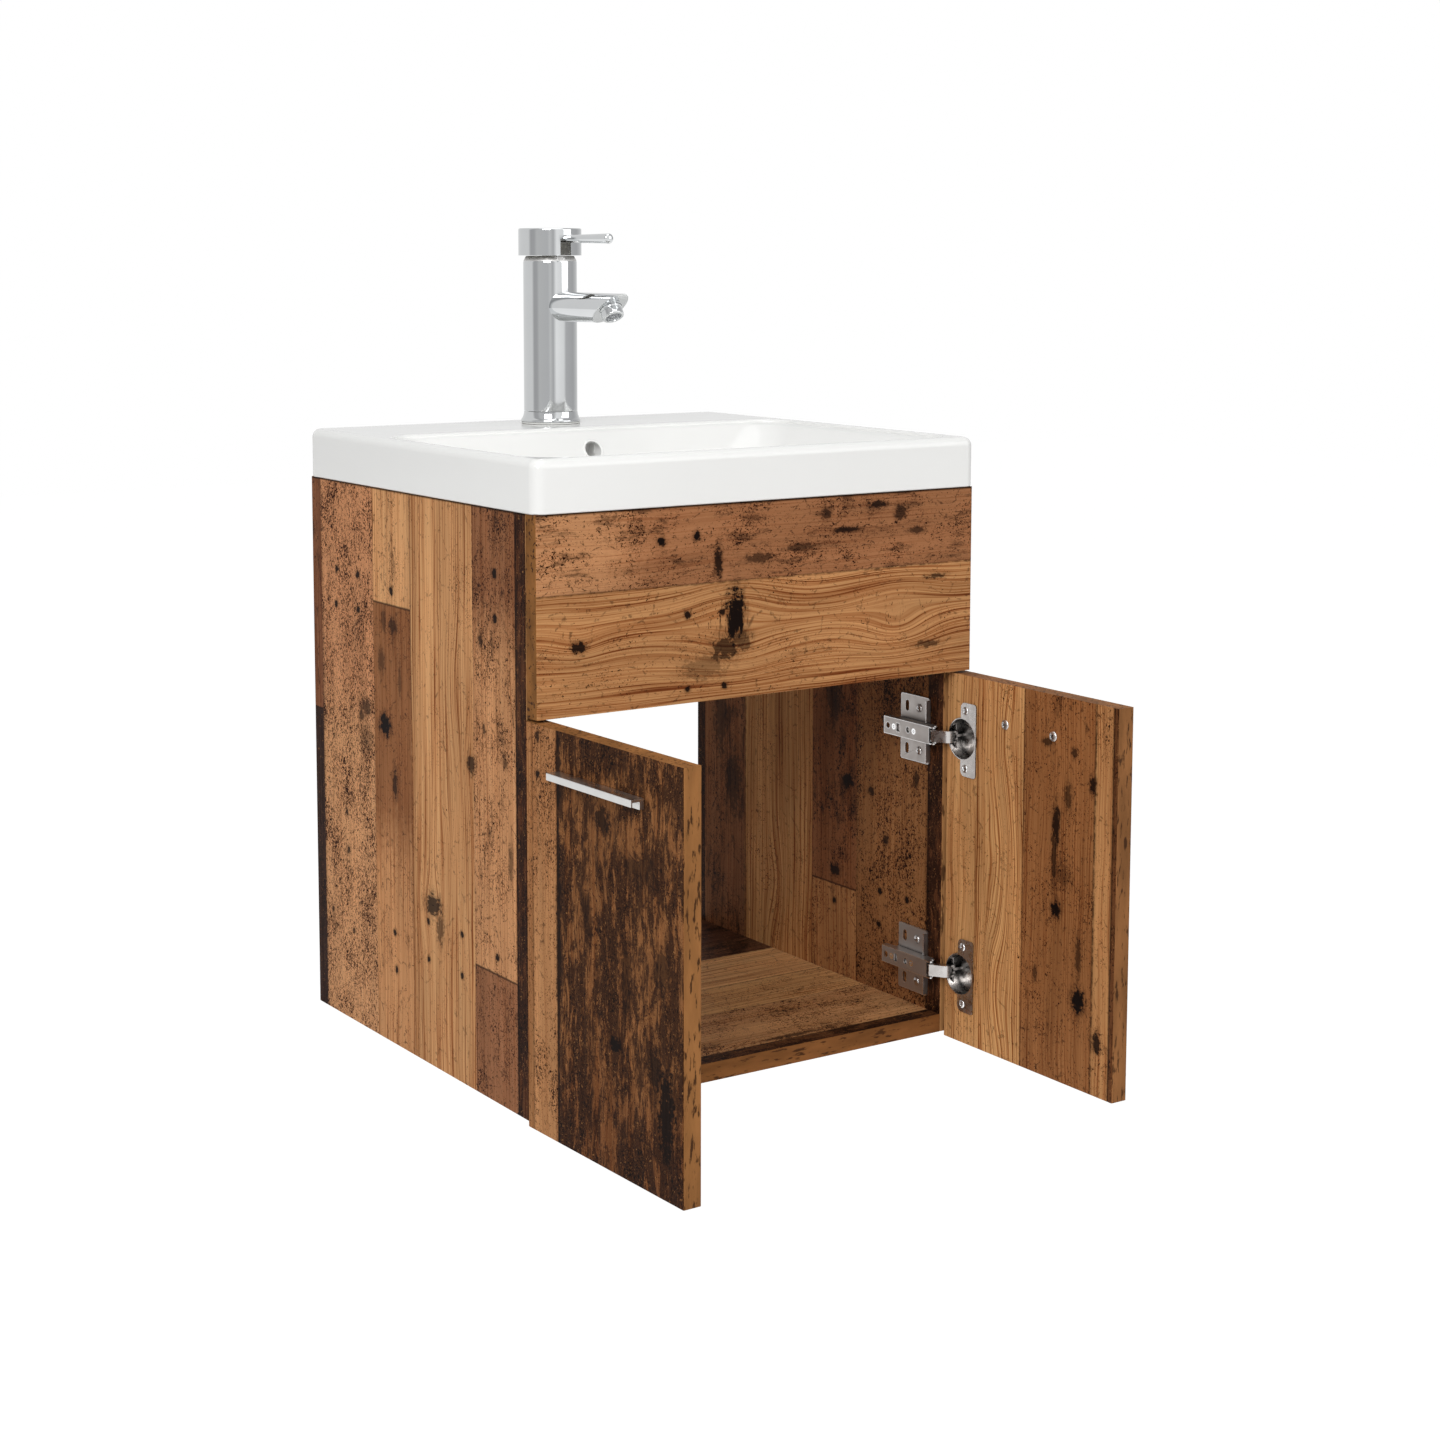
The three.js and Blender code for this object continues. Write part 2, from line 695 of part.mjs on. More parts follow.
// Pin lever: a slim cone with a round end that goes through the slot into the hub.
function tapLever() {
    const root = -stem_width / 2;
    const straight = lever_reach - lever_tip_radius * lever_end_share;
    const pin = rod('y', lever_root_radius, -tap_head_radius, root + seam, { z: lever_axis });
    const cone = rod('y', lever_tip_radius, -straight, -tap_head_radius + seam,
        { z: lever_axis }, fine_steps, lever_root_radius);
    const end = new THREE.SphereGeometry(lever_tip_radius, fine_steps, fine_steps / 2);
    end.scale(1, lever_end_share, 1).translate(0, -straight, lever_axis);
    return joined(pin, cone, closedSolid(end));
}

// Stud, rubber, horseshoe plate and nut that clamp the tap from under the deck.
function tapFixings() {
    const under = -seam * 2 - basin_deck;
    const stud_top = body_foot + stud_grip;
    const stud = disc(stud_radius, stud_top - stud_grip - basin_deck - stud_length, stud_top,
        0, stud_offset, fine_steps);
    const rubber_foot = under - clamp_rubber;
    const plate_foot = rubber_foot - seam - clamp_plate;
    const nut_foot = plate_foot - seam - stud_nut_height;
    const nut = disc(stud_nut_across / Math.sqrt(3), nut_foot, nut_foot + stud_nut_height,
        0, stud_offset, 6);
    const nut_bore = disc(stud_radius + seam, nut_foot - overrun,
        nut_foot + stud_nut_height + overrun, 0, stud_offset, fine_steps);
    return [
        piece('tap_stud', stud, zinc),
        piece('tap_clamp_rubber', horseshoe(rubber_foot, rubber_foot + clamp_rubber), rubber),
        piece('tap_clamp_plate', horseshoe(plate_foot, plate_foot + clamp_plate), zinc),
        piece('tap_stud_nut', cut(nut, nut_bore), nickel),
    ];
}

function horseshoe(z0, z1) {
    const notch_half = inlet_spacing / 2 + inlet_radius;
    const notch = block(-notch_half, notch_half, -clamp_radius - overrun,
        stud_offset - stud_radius * 2, z0 - overrun, z1 + overrun);
    const bore = disc(stud_radius + seam, z0 - overrun, z1 + overrun, 0, stud_offset, fine_steps);
    return cut(disc(clamp_radius, z0, z1), notch, bore);
}

// Waste. Its group stands on the floor of the bowl, on the axis of the waste.

function waste() {
    const group = new THREE.Group();
    group.position.set(0, -waste_from_wall, rim_top - bowl_depth);
    group.add(piece('waste_gasket', flatRing(waste_gasket_radius, seam, waste_gasket), rubber));
    group.add(piece('waste_body', wasteBody(), chrome));
    group.add(piece('waste_plug', wastePlug(), chrome));
    group.add(piece('waste_lower_gasket', flatRing(waste_gasket_radius - seam,
        -waste_shelf - seam - waste_lower_gasket, waste_lower_gasket), rubber));
    group.add(piece('waste_nut', wasteNut(), grey_plastic));
    return group;
}

const flange_foot = seam + waste_gasket + seam;

function flatRing(radius, foot, thickness) {
    const hole = disc(waste_tube_radius + seam, foot - overrun, foot + thickness + overrun);
    return cut(disc(radius, foot, foot + thickness), hole);
}

function wasteBody() {
    const foot = -waste_shelf - waste_tube_length;
    const top = flange_foot + waste_flange;
    const bore_radius = waste_tube_radius - waste_tube_wall;
    const outside = turned([
        [0, foot],
        [waste_tube_radius, foot],
        [waste_tube_radius, flange_foot],
        [waste_flange_radius, flange_foot],
        [waste_flange_radius, flange_foot + waste_flange / 3],
        [waste_flange_radius - waste_flange, top],
        [0, top],
    ]);
    const bore = disc(bore_radius, foot - overrun, top + overrun);
    const hub_top = flange_foot - waste_flange;
    const hub = disc(waste_hub_radius, hub_top - waste_hub_length, hub_top, 0, 0, fine_steps);
    const reach = bore_radius + waste_tube_wall / 2;
    const rib_foot = hub_top - waste_hub_length / 2;
    const ribs = joined(
        block(-reach, reach, -waste_rib / 2, waste_rib / 2, rib_foot, hub_top),
        block(-waste_rib / 2, waste_rib / 2, -reach, reach, rib_foot, hub_top),
    );
    const stem_bore = disc(waste_stem_radius + running_gap, foot, top, 0, 0, fine_steps);
    const window_height = overflow_duct_depth * waste_window_share;
    const window_middle = -bowl_wall - overflow_duct_depth / 2;
    const half = waste_window_width / 2;
    const overflow_windows = block(-half, half, -waste_tube_radius - overrun,
        waste_tube_radius + overrun, window_middle - window_height / 2,
        window_middle + window_height / 2);
    const core = disc(bore_radius - waste_tube_wall, foot, top);
    const tube = cut(outside, bore, cut(overflow_windows, core));
    return cut(joined(tube, hub, ribs), stem_bore);
}

// Push plug, modelled up, that is open. It slides in the hub.
function wastePlug() {
    const foot = flange_foot + waste_flange + plug_lift + seam;
    const rim = foot + plug_thickness;
    const hub_top = flange_foot - waste_flange;
    const stem_foot = hub_top - waste_hub_length + plug_lift + seam;
    return turned([
        [0, stem_foot],
        [waste_stem_radius, stem_foot],
        [waste_stem_radius, foot],
        [plug_radius, foot],
        [plug_radius, rim - plug_dome / 2],
        [plug_radius - plug_dome / 2, rim],
        [plug_radius / 2, rim + plug_dome * 0.7],
        [0, rim + plug_dome],
    ]);
}

function wasteNut() {
    const top = -waste_shelf - seam * 2 - waste_lower_gasket;
    const nut = disc(waste_nut_radius, top - waste_nut_height, top, 0, 0, waste_nut_sides);
    return cut(nut, disc(waste_tube_radius + seam, top - waste_nut_height - overrun,
        top + overrun));
}

// Doors, handles and hinges. All are drawn for the left side; the right side is mirrored.
// Their plan is drawn with "in" from the cabinet's left side and "out" from the front edge
// of the carcass, and a point of it lies at this x and y.

function planPoint(along_in, along_out) {
    return new THREE.Vector2(-half_width + along_in, carcass_front - along_out);
}

// A point of the closed door: from its hinge edge, and into it from its back face.
function doorPoint(from_edge, into) {
    return planPoint(door_reveal + from_edge, door_stand_off + into);
}

const turn_axis = planPoint(turn_in, turn_out);
const cup_centre = doorPoint(cup_edge_distance + cup_radius, 0);
const cup_pocket_depth = cup_depth + seam;

function doorBoard() {
    const near = doorPoint(0, 0);
    const far = doorPoint(door_width, door_board);
    const outline = roundedShape(near.x, far.x, far.y, near.y, edge_round);
    const slab = prism(outline, door_foot, door_top, edge_steps);
    const pockets = Object.values(hinge_heights).map((height) => rod(
        'y', cup_radius + seam, near.y - cup_pocket_depth, near.y + overrun,
        { x: cup_centre.x, z: height }, cup_steps,
    ));
    const screw_holes = handleScrewPlaces().map((x) => rod(
        'y', handle_screw_radius + seam, far.y - overrun, near.y + overrun,
        { x, z: handle_middle }, hole_steps,
    ));
    return cut(slab, ...pockets, ...screw_holes);
}

const handle_top = door_top - handle_below_door_top;
const handle_middle = handle_top - handle_height / 2;

function handleScrewPlaces() {
    const middle = doorPoint(door_width / 2, 0).x;
    return [-1, 1].map((sign) => middle + sign * handle_screw_spacing / 2);
}

// Extruded aluminium pull: a block on the door, a web and a lip to hook the fingers on.
function handleBar() {
    const face = doorPoint(0, door_board).y - seam;
    const front = face - handle_reach;
    const foot = handle_top - handle_height;
    const section = new THREE.Shape();
    section.moveTo(face, foot);
    section.lineTo(face, handle_top);
    section.lineTo(front, handle_top);
    section.lineTo(front, handle_top - handle_lip_height);
    section.lineTo(front + handle_lip, handle_top - handle_lip_height);
    section.lineTo(front + handle_lip, handle_top - handle_web);
    section.lineTo(face - handle_block, handle_top - handle_web);
    section.lineTo(face - handle_block, foot);
    section.closePath();
    const options = { depth: handle_length, bevelEnabled: false };
    const bar = new THREE.ExtrudeGeometry(section, options);
    bar.applyMatrix4(new THREE.Matrix4().makeBasis(
        new THREE.Vector3(0, 1, 0), new THREE.Vector3(0, 0, 1), new THREE.Vector3(1, 0, 0),
    ));
    bar.translate(doorPoint(door_width / 2, 0).x - handle_length / 2, 0, 0);
    const sockets = handleScrewPlaces().map((x) => rod(
        'y', handle_screw_radius + seam, face - handle_screw_grip - seam, face + overrun,
        { x, z: handle_middle }, hole_steps,
    ));
    return cut(closedSolid(bar), ...sockets);
}

function handleScrew(x) {
    const back = doorPoint(0, 0).y + seam;
    const tip = doorPoint(0, door_board).y - handle_screw_grip;
    const at = { x, z: handle_middle };
    const shank = rod('y', handle_screw_radius, tip, back + seam, at, hole_steps);
    const head = rod('y', handle_screw_head_radius, back, back + handle_screw_head, at,
        fine_steps, handle_screw_head_radius * screw_head_top_share);
    return joined(shank, head);
}

// Cup of a hinge: a pressed pot in the door with two screw ears, the pin of the outer link
// as two stubs, and a fin from its floor that carries the pin of the inner link.
function hingeCup(height) {
    const back = doorPoint(0, 0).y;
    const { x } = cup_centre;
    const at = { x, z: height };
    const flange_back = back + seam;
    const flange_face = flange_back + flange_thickness;
    const floor = back - cup_depth;
    const pot = rod('y', cup_radius, floor, flange_face, at, cup_steps);
    const hollow = rod('y', cup_radius - cup_wall, floor + cup_wall, flange_face + overrun, at,
        cup_steps);
    const far = x + cup_radius - seam;
    const ears = new THREE.Shape();
    const half = flange_length / 2;
    ears.moveTo(far, -half + flange_corner);
    ears.lineTo(far, half - flange_corner);
    ears.absarc(far - flange_corner, half - flange_corner, flange_corner, 0, Math.PI / 2);
    ears.absarc(far - flange_width + flange_corner * 2, half - flange_corner * 2,
        flange_corner * 2, Math.PI / 2, Math.PI);
    ears.absarc(far - flange_width + flange_corner * 2, -half + flange_corner * 2,
        flange_corner * 2, Math.PI, Math.PI * 3 / 2);
    ears.absarc(far - flange_corner, -half + flange_corner, flange_corner, -Math.PI / 2, 0);
    const options = { depth: flange_thickness, bevelEnabled: false, curveSegments: corner_steps };
    const plate = new THREE.ExtrudeGeometry(ears, options);
    plate.rotateX(Math.PI / 2).translate(0, flange_face, height);
    const screw_x = x + flange_screw_from_cup;
    const screws = [-1, 1].map((sign) => rod(
        'y', flange_screw_radius, flange_back - overrun, flange_face + overrun,
        { x: screw_x, z: height + sign * flange_screw_spacing / 2 }, hole_steps,
    ));
    const outer_pin = outer_link.cup_pin;
    const inner_pin = inner_link.cup_pin;
    const between = inner_link_width / 2 + seam * 2;
    const pin_half = cup_radius - cup_wall / 2;
    const stubs = cut(
        disc(link_pin_radius, height - pin_half, height + pin_half, outer_pin.x, outer_pin.y,
            hole_steps).intersect(rod('y', cup_radius - cup_wall / 2, floor, flange_face, at,
            cup_steps)),
        block(x - cup_radius, x + cup_radius, floor, flange_face, height - between,
            height + between),
    );
    const fin_half = fin_thickness / 2;
    const fin = block(inner_pin.x - link_pin_radius, inner_pin.x + link_pin_radius,
        floor + cup_wall / 2, inner_pin.y, height - fin_half, height + fin_half);
    const stub_half = inner_link_width / 2;
    const inner_stub = disc(link_pin_radius, height - stub_half, height + stub_half,
        inner_pin.x, inner_pin.y, hole_steps);
    const shell = cut(joined(pot, closedSolid(plate)), hollow, ...screws);
    return joined(shell, stubs, fin, inner_stub);
}

// A link's arm pin is fixed on the cabinet. Its cup pin goes round the turning axis with the
// door, so the two are placed to be as far apart with the door closed as at 90 degrees.
function linkOf(pin_inward, pin_back, cup_pin_shift) {
    const arm_pin = planPoint(board + pin_inward, -pin_back);
    const along = board + pin_inward - turn_in;
    const back = pin_back + turn_out;
    const side = cup_pin_shift * (along - back) / (along + back);
    const cup_pin = new THREE.Vector2(turn_axis.x + side, turn_axis.y + cup_pin_shift);
    const opening = [0, square_open_deg / 2, square_open_deg];
    const swings = opening.map((degrees) => swung(cup_pin, degrees).sub(arm_pin));
    const lengths = swings.map((swing) => swing.length());
    const length = (Math.min(...lengths) + Math.max(...lengths)) / 2;
    const closed = swings[0].angle();
    const turn = swings[2].angle() - closed;
    return { arm_pin, cup_pin, length, closed, ratio: turn / doorAngle(square_open_deg) };
}

function doorAngle(degrees) {
    return THREE.MathUtils.degToRad(-degrees);
}

// Where a point of the closed door lies when the door is open.
function swung(point, degrees) {
    return point.clone().rotateAround(turn_axis, doorAngle(degrees));
}

const outer_link = linkOf(outer_pin_inward, outer_pin_back, outer_cup_pin_shift);
const inner_link = linkOf(inner_pin_inward, inner_pin_back, inner_cup_pin_shift);

// A plan point as a link sees it: along the link from its arm pin, and out from it.
function besideLink(link, point, degrees) {
    const direction = link.closed + doorAngle(degrees) * link.ratio;
    return point.clone().sub(link.arm_pin).rotateAround(new THREE.Vector2(), -direction);
}

// Play in the eye on the cup's pin, which doesn't keep quite the same distance.
function eyePlay(link) {
    const opening = [0, square_open_deg / 2, square_open_deg, full_open_deg];
    const offsets = opening.map((degrees) => {
        const pin = besideLink(link, swung(link.cup_pin, degrees), degrees);
        return pin.distanceTo(new THREE.Vector2(link.length, 0));
    });
    return Math.max(...offsets) + running_gap / 2;
}

// The two corners that a link passes: the side panel's, nearest with the door closed, and
// the rim of the cup, nearest with the door fully open.
function passedCorners(link, half_link) {
    const panel = besideLink(link, planPoint(board, 0), 0);
    const inner_radius = cup_radius - cup_wall;
    const chord = Math.sqrt(inner_radius ** 2 - half_link ** 2);
    const wall = cup_edge_distance + cup_radius - chord;
    const rim_point = doorPoint(wall, -seam - flange_thickness);
    const rims = [square_open_deg, full_open_deg].map((degrees) => (
        besideLink(link, swung(rim_point, degrees), degrees)
    ));
    const rim = rims[0].y > rims[1].y ? rims[0] : rims[1];
    return { panel, rim };
}

// Outer link: a bowed channel with an eye in each cheek at both ends.
function outerLink() {
    const half = outer_link_width / 2;
    const { panel, rim } = passedCorners(outer_link, half);
    const side = linkSide(outer_link, panel, rim, outer_eye_radius, outer_link_bow);
    const full = prism(side, -half, half);
    const inside = half - outer_link_metal;
    const hollow = prism(underWeb(outer_link, rim), -inside, inside);
    return withEyes(cut(full, hollow), outer_link, half);
}

// Inner link: a bowed bar with a fork at the cup end, which straddles the fin.
function innerLink() {
    const half = inner_link_width / 2;
    const { panel, rim } = passedCorners(inner_link, half);
    const side = linkSide(inner_link, panel, rim, inner_eye_radius, inner_link_bow);
    const slot = fin_thickness / 2 + running_gap;
    const fork = disc(inner_eye_radius * 2, -slot, slot, inner_link.length, 0, fine_steps);
    return withEyes(cut(prism(side, -half, half), fork), inner_link, half);
}

function withEyes(link_solid, link, half) {
    const reach = half + overrun;
    const arm_eye = disc(link_pin_radius + running_gap, -reach, reach, 0, 0, hole_steps);
    const cup_eye = disc(link_pin_radius + eyePlay(link), -reach, reach, link.length, 0,
        hole_steps);
    return cut(link_solid, arm_eye, cup_eye);
}

// Side view of a link, along +X from its arm pin. It has an eye at each end and rises over
// the two corners that it passes.
function linkSide(link, panel, rim, eye, bow) {
    const { length } = link;
    const over_panel = Math.max(panel.y + link_clearance, -eye * 0.6);
    const over_rim = Math.max(rim.y + link_clearance, -eye * 0.6);
    const crest = over_rim + bow;
    const shape = new THREE.Shape();
    const start = new THREE.Vector2(-eye * 0.6, eye * 0.8);
    shape.absarc(0, 0, eye, start.angle(), Math.PI * 1.6);
    shape.lineTo(panel.x, over_panel);
    shape.lineTo(rim.x - link_clearance, over_rim);
    shape.lineTo(rim.x + link_clearance, over_rim);
    shape.absarc(length, 0, eye, Math.PI * 1.1, Math.PI * 2.2);
    shape.bezierCurveTo(length, crest * 0.8, rim.x, crest, rim.x - eye, crest);
    shape.bezierCurveTo(panel.x, crest, panel.x / 2, over_panel + bow, start.x, start.y);
    return shape;
}

// Room in the outer link under its web, which ends short of the cup's floor and fin.
function underWeb(link, rim) {
    const { length } = link;
    const roof = Math.max(rim.y + link_clearance, 0) + outer_link_bow - outer_link_metal;
    const eye = outer_eye_radius;
    const shape = new THREE.Shape();
    shape.moveTo(-eye - overrun, -eye - overrun);
    shape.lineTo(length + eye + overrun, -eye - overrun);
    shape.lineTo(length + eye + overrun, roof);
    shape.lineTo(rim.x - eye, roof);
    shape.bezierCurveTo(rim.x / 2, roof, eye, roof / 2, -eye - overrun, 0);
    shape.closePath();
    return shape;
}

// Arm: a channel over the plate's ridge, with the two link pins between its front cheeks.
function hingeArm(height) {
    const half = arm_width / 2;
    const foot_in = board + plate_thickness + seam * 2;
    const top_in = board + arm_height;
    const front = planPoint(0, -arm_setback).y;
    const rear = front + arm_length;
    const x0 = planPoint(foot_in, 0).x;
    const x1 = planPoint(top_in, 0).x;
    const z0 = height - half;
    const z1 = height + half;
    const channel = block(x0, x1, front, rear, z0, z1);
    const hollow = block(x0 - overrun, x1 - arm_metal, front - overrun, rear + overrun,
        z0 + arm_metal, z1 - arm_metal);
    const nose = [outer_link, inner_link].map(({ arm_pin }) => joined(
        noseCheek(arm_pin, z0, z0 + arm_metal), noseCheek(arm_pin, z1 - arm_metal, z1),
    ));
    const pins = [outer_link, inner_link].map(({ arm_pin }) => disc(link_pin_radius,
        z0 + arm_metal / 2, z1 - arm_metal / 2, arm_pin.x, arm_pin.y, hole_steps));
    const rear_cut = block(x0 - overrun, planPoint(board + arm_height / 2, 0).x,
        rear - arm_rear_screw * 2, rear + overrun, z0 - overrun, z1 + overrun);
    const holes = [arm_rear_screw, arm_front_screw].map((from_rear) => rod(
        'x', arm_screw_radius, x1 - arm_metal - overrun, x1 + overrun,
        { y: rear - from_rear, z: height },
    ));
    const window_y = rear - arm_window;
    const window_cut = block(x1 - arm_metal - overrun, x1 + overrun,
        window_y - arm_window_length / 2, window_y + arm_window_length / 2,
        height - arm_window_width / 2, height + arm_window_width / 2);
    return cut(joined(channel, ...nose), hollow, rear_cut, window_cut, ...holes)
        .add(joined(...pins));
}

// Round ear of a front cheek about a link pin, tied back into the channel.
function noseCheek(pin, z0, z1) {
    const radius = link_pin_radius + arm_metal;
    const ear = disc(radius, z0, z1, pin.x, pin.y, hole_steps);
    const back = planPoint(0, -arm_setback - arm_metal * 4).y;
    const tie = block(pin.x - radius, pin.x + radius, pin.y, back, z0, z1);
    return joined(ear, tie);
}

// Mounting plate on the side panel: slots and holes, a bent front lip and a ridge that
// fills the arm's channel.
function hingePlate(height) {
    const x0 = planPoint(board + seam, 0).x;
    const x1 = x0 + plate_thickness;
    const front = planPoint(0, -plate_setback).y;
    const rear = front + plate_width;
    const outline = roundedShape(front, rear, -plate_length / 2, plate_length / 2, plate_corner);
    const options = { depth: plate_thickness, bevelEnabled: false, curveSegments: corner_steps };
    const sheet = new THREE.ExtrudeGeometry(outline, options);
    sheet.applyMatrix4(new THREE.Matrix4().makeBasis(
        new THREE.Vector3(0, 1, 0), new THREE.Vector3(0, 0, 1), new THREE.Vector3(1, 0, 0),
    ));
    sheet.translate(x0, 0, height);
    const lip_half = plate_length / 2 - plate_corner;
    const lips = [-1, 1].map((sign) => {
        const ends = [sign * (arm_width / 2 + seam), sign * lip_half].sort((a, b) => a - b);
        return block(x1 - seam, x1 + plate_lip_height, front, front + plate_lip,
            height + ends[0], height + ends[1]);
    });
    const ridge_half = ridge_width / 2;
    const ridge_top = planPoint(board + arm_height - arm_metal - seam, 0).x;
    const arm_rear = planPoint(0, -arm_setback).y + arm_length;
    const ridge = block(x1 - seam, ridge_top, front + plate_lip, arm_rear - arm_rear_screw * 2,
        height - ridge_half, height + ridge_half);
    const round_holes = [-1, 1].map((sign) => rod('x', plate_hole_radius, x0 - overrun,
        x1 + overrun, { y: front + plate_hole_setback, z: height + sign * plate_hole_spacing / 2 },
        hole_steps));
    const slots = [-1, 1].map((sign) => {
        const middle = height + sign * plate_hole_spacing / 2;
        const y = front + plate_slot_setback;
        const reach = plate_slot_length / 2 - plate_hole_radius;
        const ends = [-1, 1].map((end) => rod('x', plate_hole_radius, x0 - overrun, x1 + overrun,
            { y, z: middle + end * reach }, hole_steps));
        return joined(...ends, block(x0 - overrun, x1 + overrun, y - plate_hole_radius,
            y + plate_hole_radius, middle - reach, middle + reach));
    });
    return cut(joined(closedSolid(sheet), ...lips, ridge), ...round_holes, ...slots);
}

// A group that turns about a vertical axis. The pieces in it are drawn closed, in the
// cabinet's own place, so they are moved back by the axis first.
function turning(axis, angle, mirror, meshes) {
    const sign = mirror ? -1 : 1;
    const group = new THREE.Group();
    group.position.set(sign * axis.x, axis.y, 0);
    group.rotation.z = sign * angle;
    for (const mesh of meshes) {
        mesh.position.sub(new THREE.Vector3(sign * axis.x, axis.y, 0));
        group.add(mesh);
    }
    return group;
}

// A link, drawn along +X, laid on its arm pin at one height.
function laidLink(name, solid, link, angle, height, mirror) {
    const mesh = piece(name, solid, nickel, mirror);
    const sign = mirror ? -1 : 1;
    mesh.position.set(sign * link.arm_pin.x, link.arm_pin.y, height);
    mesh.rotation.z = sign * (link.closed + angle * link.ratio);
    return mesh;
}

function doorSide(side, rest_degrees) {
    const mirror = side === 'right';
    const angle = doorAngle(rest_degrees);
    const group = new THREE.Group();
    const on_door = [
        piece(`door_${side}`, doorBoard(), mirror ? wood_light : wood_dark, mirror),
        piece(`handle_${side}`, handleBar(), aluminium, mirror),
    ];
    handleScrewPlaces().forEach((x, i) => {
        const which = i === 0 ? 'hinge_side' : 'free_side';
        on_door.push(piece(`handle_screw_${side}_${which}`, handleScrew(x), nickel, mirror));
    });
    for (const [level, height] of Object.entries(hinge_heights)) {
        const name = `hinge_${side}_${level}`;
        on_door.push(piece(`${name}_cup`, hingeCup(height), nickel, mirror));
        group.add(piece(`${name}_plate`, hingePlate(height), nickel, mirror));
        group.add(piece(`${name}_arm`, hingeArm(height), nickel, mirror));
        group.add(laidLink(`${name}_outer_link`, outerLink(), outer_link, angle, height, mirror));
        group.add(laidLink(`${name}_inner_link`, innerLink(), inner_link, angle, height, mirror));
    }
    group.add(turning(turn_axis, angle, mirror, on_door));
    return group;
}

// The whole unit, moved so that the origin is on the wall in the middle of the rear rail.
const vanity = new THREE.Group();
vanity.position.z = -origin_height;
vanity.add(carcass(), basin(), tap(), waste());
vanity.add(doorSide('left', left_rest_deg), doorSide('right', right_rest_deg));

export default vanity;
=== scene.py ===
"""Wall-hung vanity unit with open doors: finishes, fine surfaces, lamps and camera.

The cabinet's boards keep their solids and get a printed plank laminate. The basin, the
tap, the waste, the handles and the hinges get fine pieces made from the same sizes.
Sizes in the classes are millimetres in the row frame: +Z up, +Y into the wall, and the
origin on the wall in the middle of the rear rail.
"""

import logging
import math
from dataclasses import dataclass
from enum import Enum
from typing import Any, Callable, Iterable, Sequence

import bmesh
import bpy
from mathutils import Matrix, Vector

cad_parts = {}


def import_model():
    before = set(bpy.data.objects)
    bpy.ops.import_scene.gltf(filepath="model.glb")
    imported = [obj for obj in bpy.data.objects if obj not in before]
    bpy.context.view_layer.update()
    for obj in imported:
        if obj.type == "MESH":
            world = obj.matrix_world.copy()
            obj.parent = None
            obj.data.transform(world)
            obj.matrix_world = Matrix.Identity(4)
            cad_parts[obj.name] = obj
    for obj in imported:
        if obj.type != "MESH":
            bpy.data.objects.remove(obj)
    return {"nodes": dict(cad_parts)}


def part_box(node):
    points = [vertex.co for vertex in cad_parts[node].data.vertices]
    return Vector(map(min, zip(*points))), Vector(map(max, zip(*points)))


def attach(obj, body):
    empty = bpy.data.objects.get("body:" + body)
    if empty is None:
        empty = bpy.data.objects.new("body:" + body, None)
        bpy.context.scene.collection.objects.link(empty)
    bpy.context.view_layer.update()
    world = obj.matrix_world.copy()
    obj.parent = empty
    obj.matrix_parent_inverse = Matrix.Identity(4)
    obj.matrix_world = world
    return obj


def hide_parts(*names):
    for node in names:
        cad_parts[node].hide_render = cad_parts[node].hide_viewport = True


log = logging.getLogger("vanity")
MM = 0.001
METRE = 1000.0  # mm
CLEAR = 0.3  # gap that keeps two faces apart, mm
Point = tuple[float, float, float]
Ring = list[Point]
Seat = tuple[Point, Point]  # where a screw's head sits, and the way that it faces
Mesh = bpy.types.Mesh
Material = bpy.types.Material
Node = bpy.types.Node
Socket = bpy.types.NodeSocket


# Small helpers for colours and node trees


def linear(colour: str, alpha: float = 1.0) -> tuple[float, float, float, float]:
    """Turn a colour as seen on a screen into the linear one that a shader takes.

    Args:
        colour: sRGB as #rrggbb.
        alpha: the fourth number, passed on.

    Returns:
        Linear red, green and blue, and alpha.
    """
    parts = [int(colour[i : i + 2], 16) / 255 for i in (1, 3, 5)]
    flat = [c / 12.92 if c <= 0.04045 else ((c + 0.055) / 1.055) ** 2.4 for c in parts]
    return (flat[0], flat[1], flat[2], alpha)


def dimmed(colour: Sequence[float], share: float) -> tuple[float, ...]:
    """A linear colour made darker, its fourth number kept."""
    return (*(c * share for c in colour[:3]), colour[3])


class Graph:
    """A node tree that is filled one node at a time."""

    def __init__(self, tree: bpy.types.NodeTree) -> None:
        """Start on an existing tree, emptied."""
        self.tree = tree
        tree.nodes.clear()

    def add(self, kind: str, *values: Any, out: int | str | None = 0, **settings: Any) -> Any:
        """Add a node, set it and link it.

        Args:
            kind: the node's type name, which may leave out a leading ShaderNode and may
                end in a dot and the operation.
            values: for each input in turn a value, a socket to link, or None to leave it;
                a dict among them sets inputs by name or number.
            out: which output to return, or None for the node itself.
            settings: the node's own properties.

        Returns:
            The output socket, or the node.
        """
        kind, _, operation = kind.partition(".")
        node = self.tree.nodes.new(kind if "Node" in kind else "ShaderNode" + kind)
        if operation:
            node.operation = operation
        for name, value in settings.items():
            setattr(node, name, value)
        pairs: list[tuple[int | str, Any]] = []
        for place, value in enumerate(values):
            pairs += list(value.items()) if isinstance(value, dict) else [(place, value)]
        for key, value in pairs:
            if value is None:
                continue
            if isinstance(value, Socket):
                self.tree.links.new(value, node.inputs[key])
            else:
                node.inputs[key].default_value = value
        return node if out is None or not node.outputs else node.outputs[out]


def new_material(name: str) -> tuple[Material, Graph]:
    """A material, and the graph that its nodes are added to."""
    material = bpy.data.materials.new(name)
    material.use_nodes = True
    return material, Graph(material.node_tree)


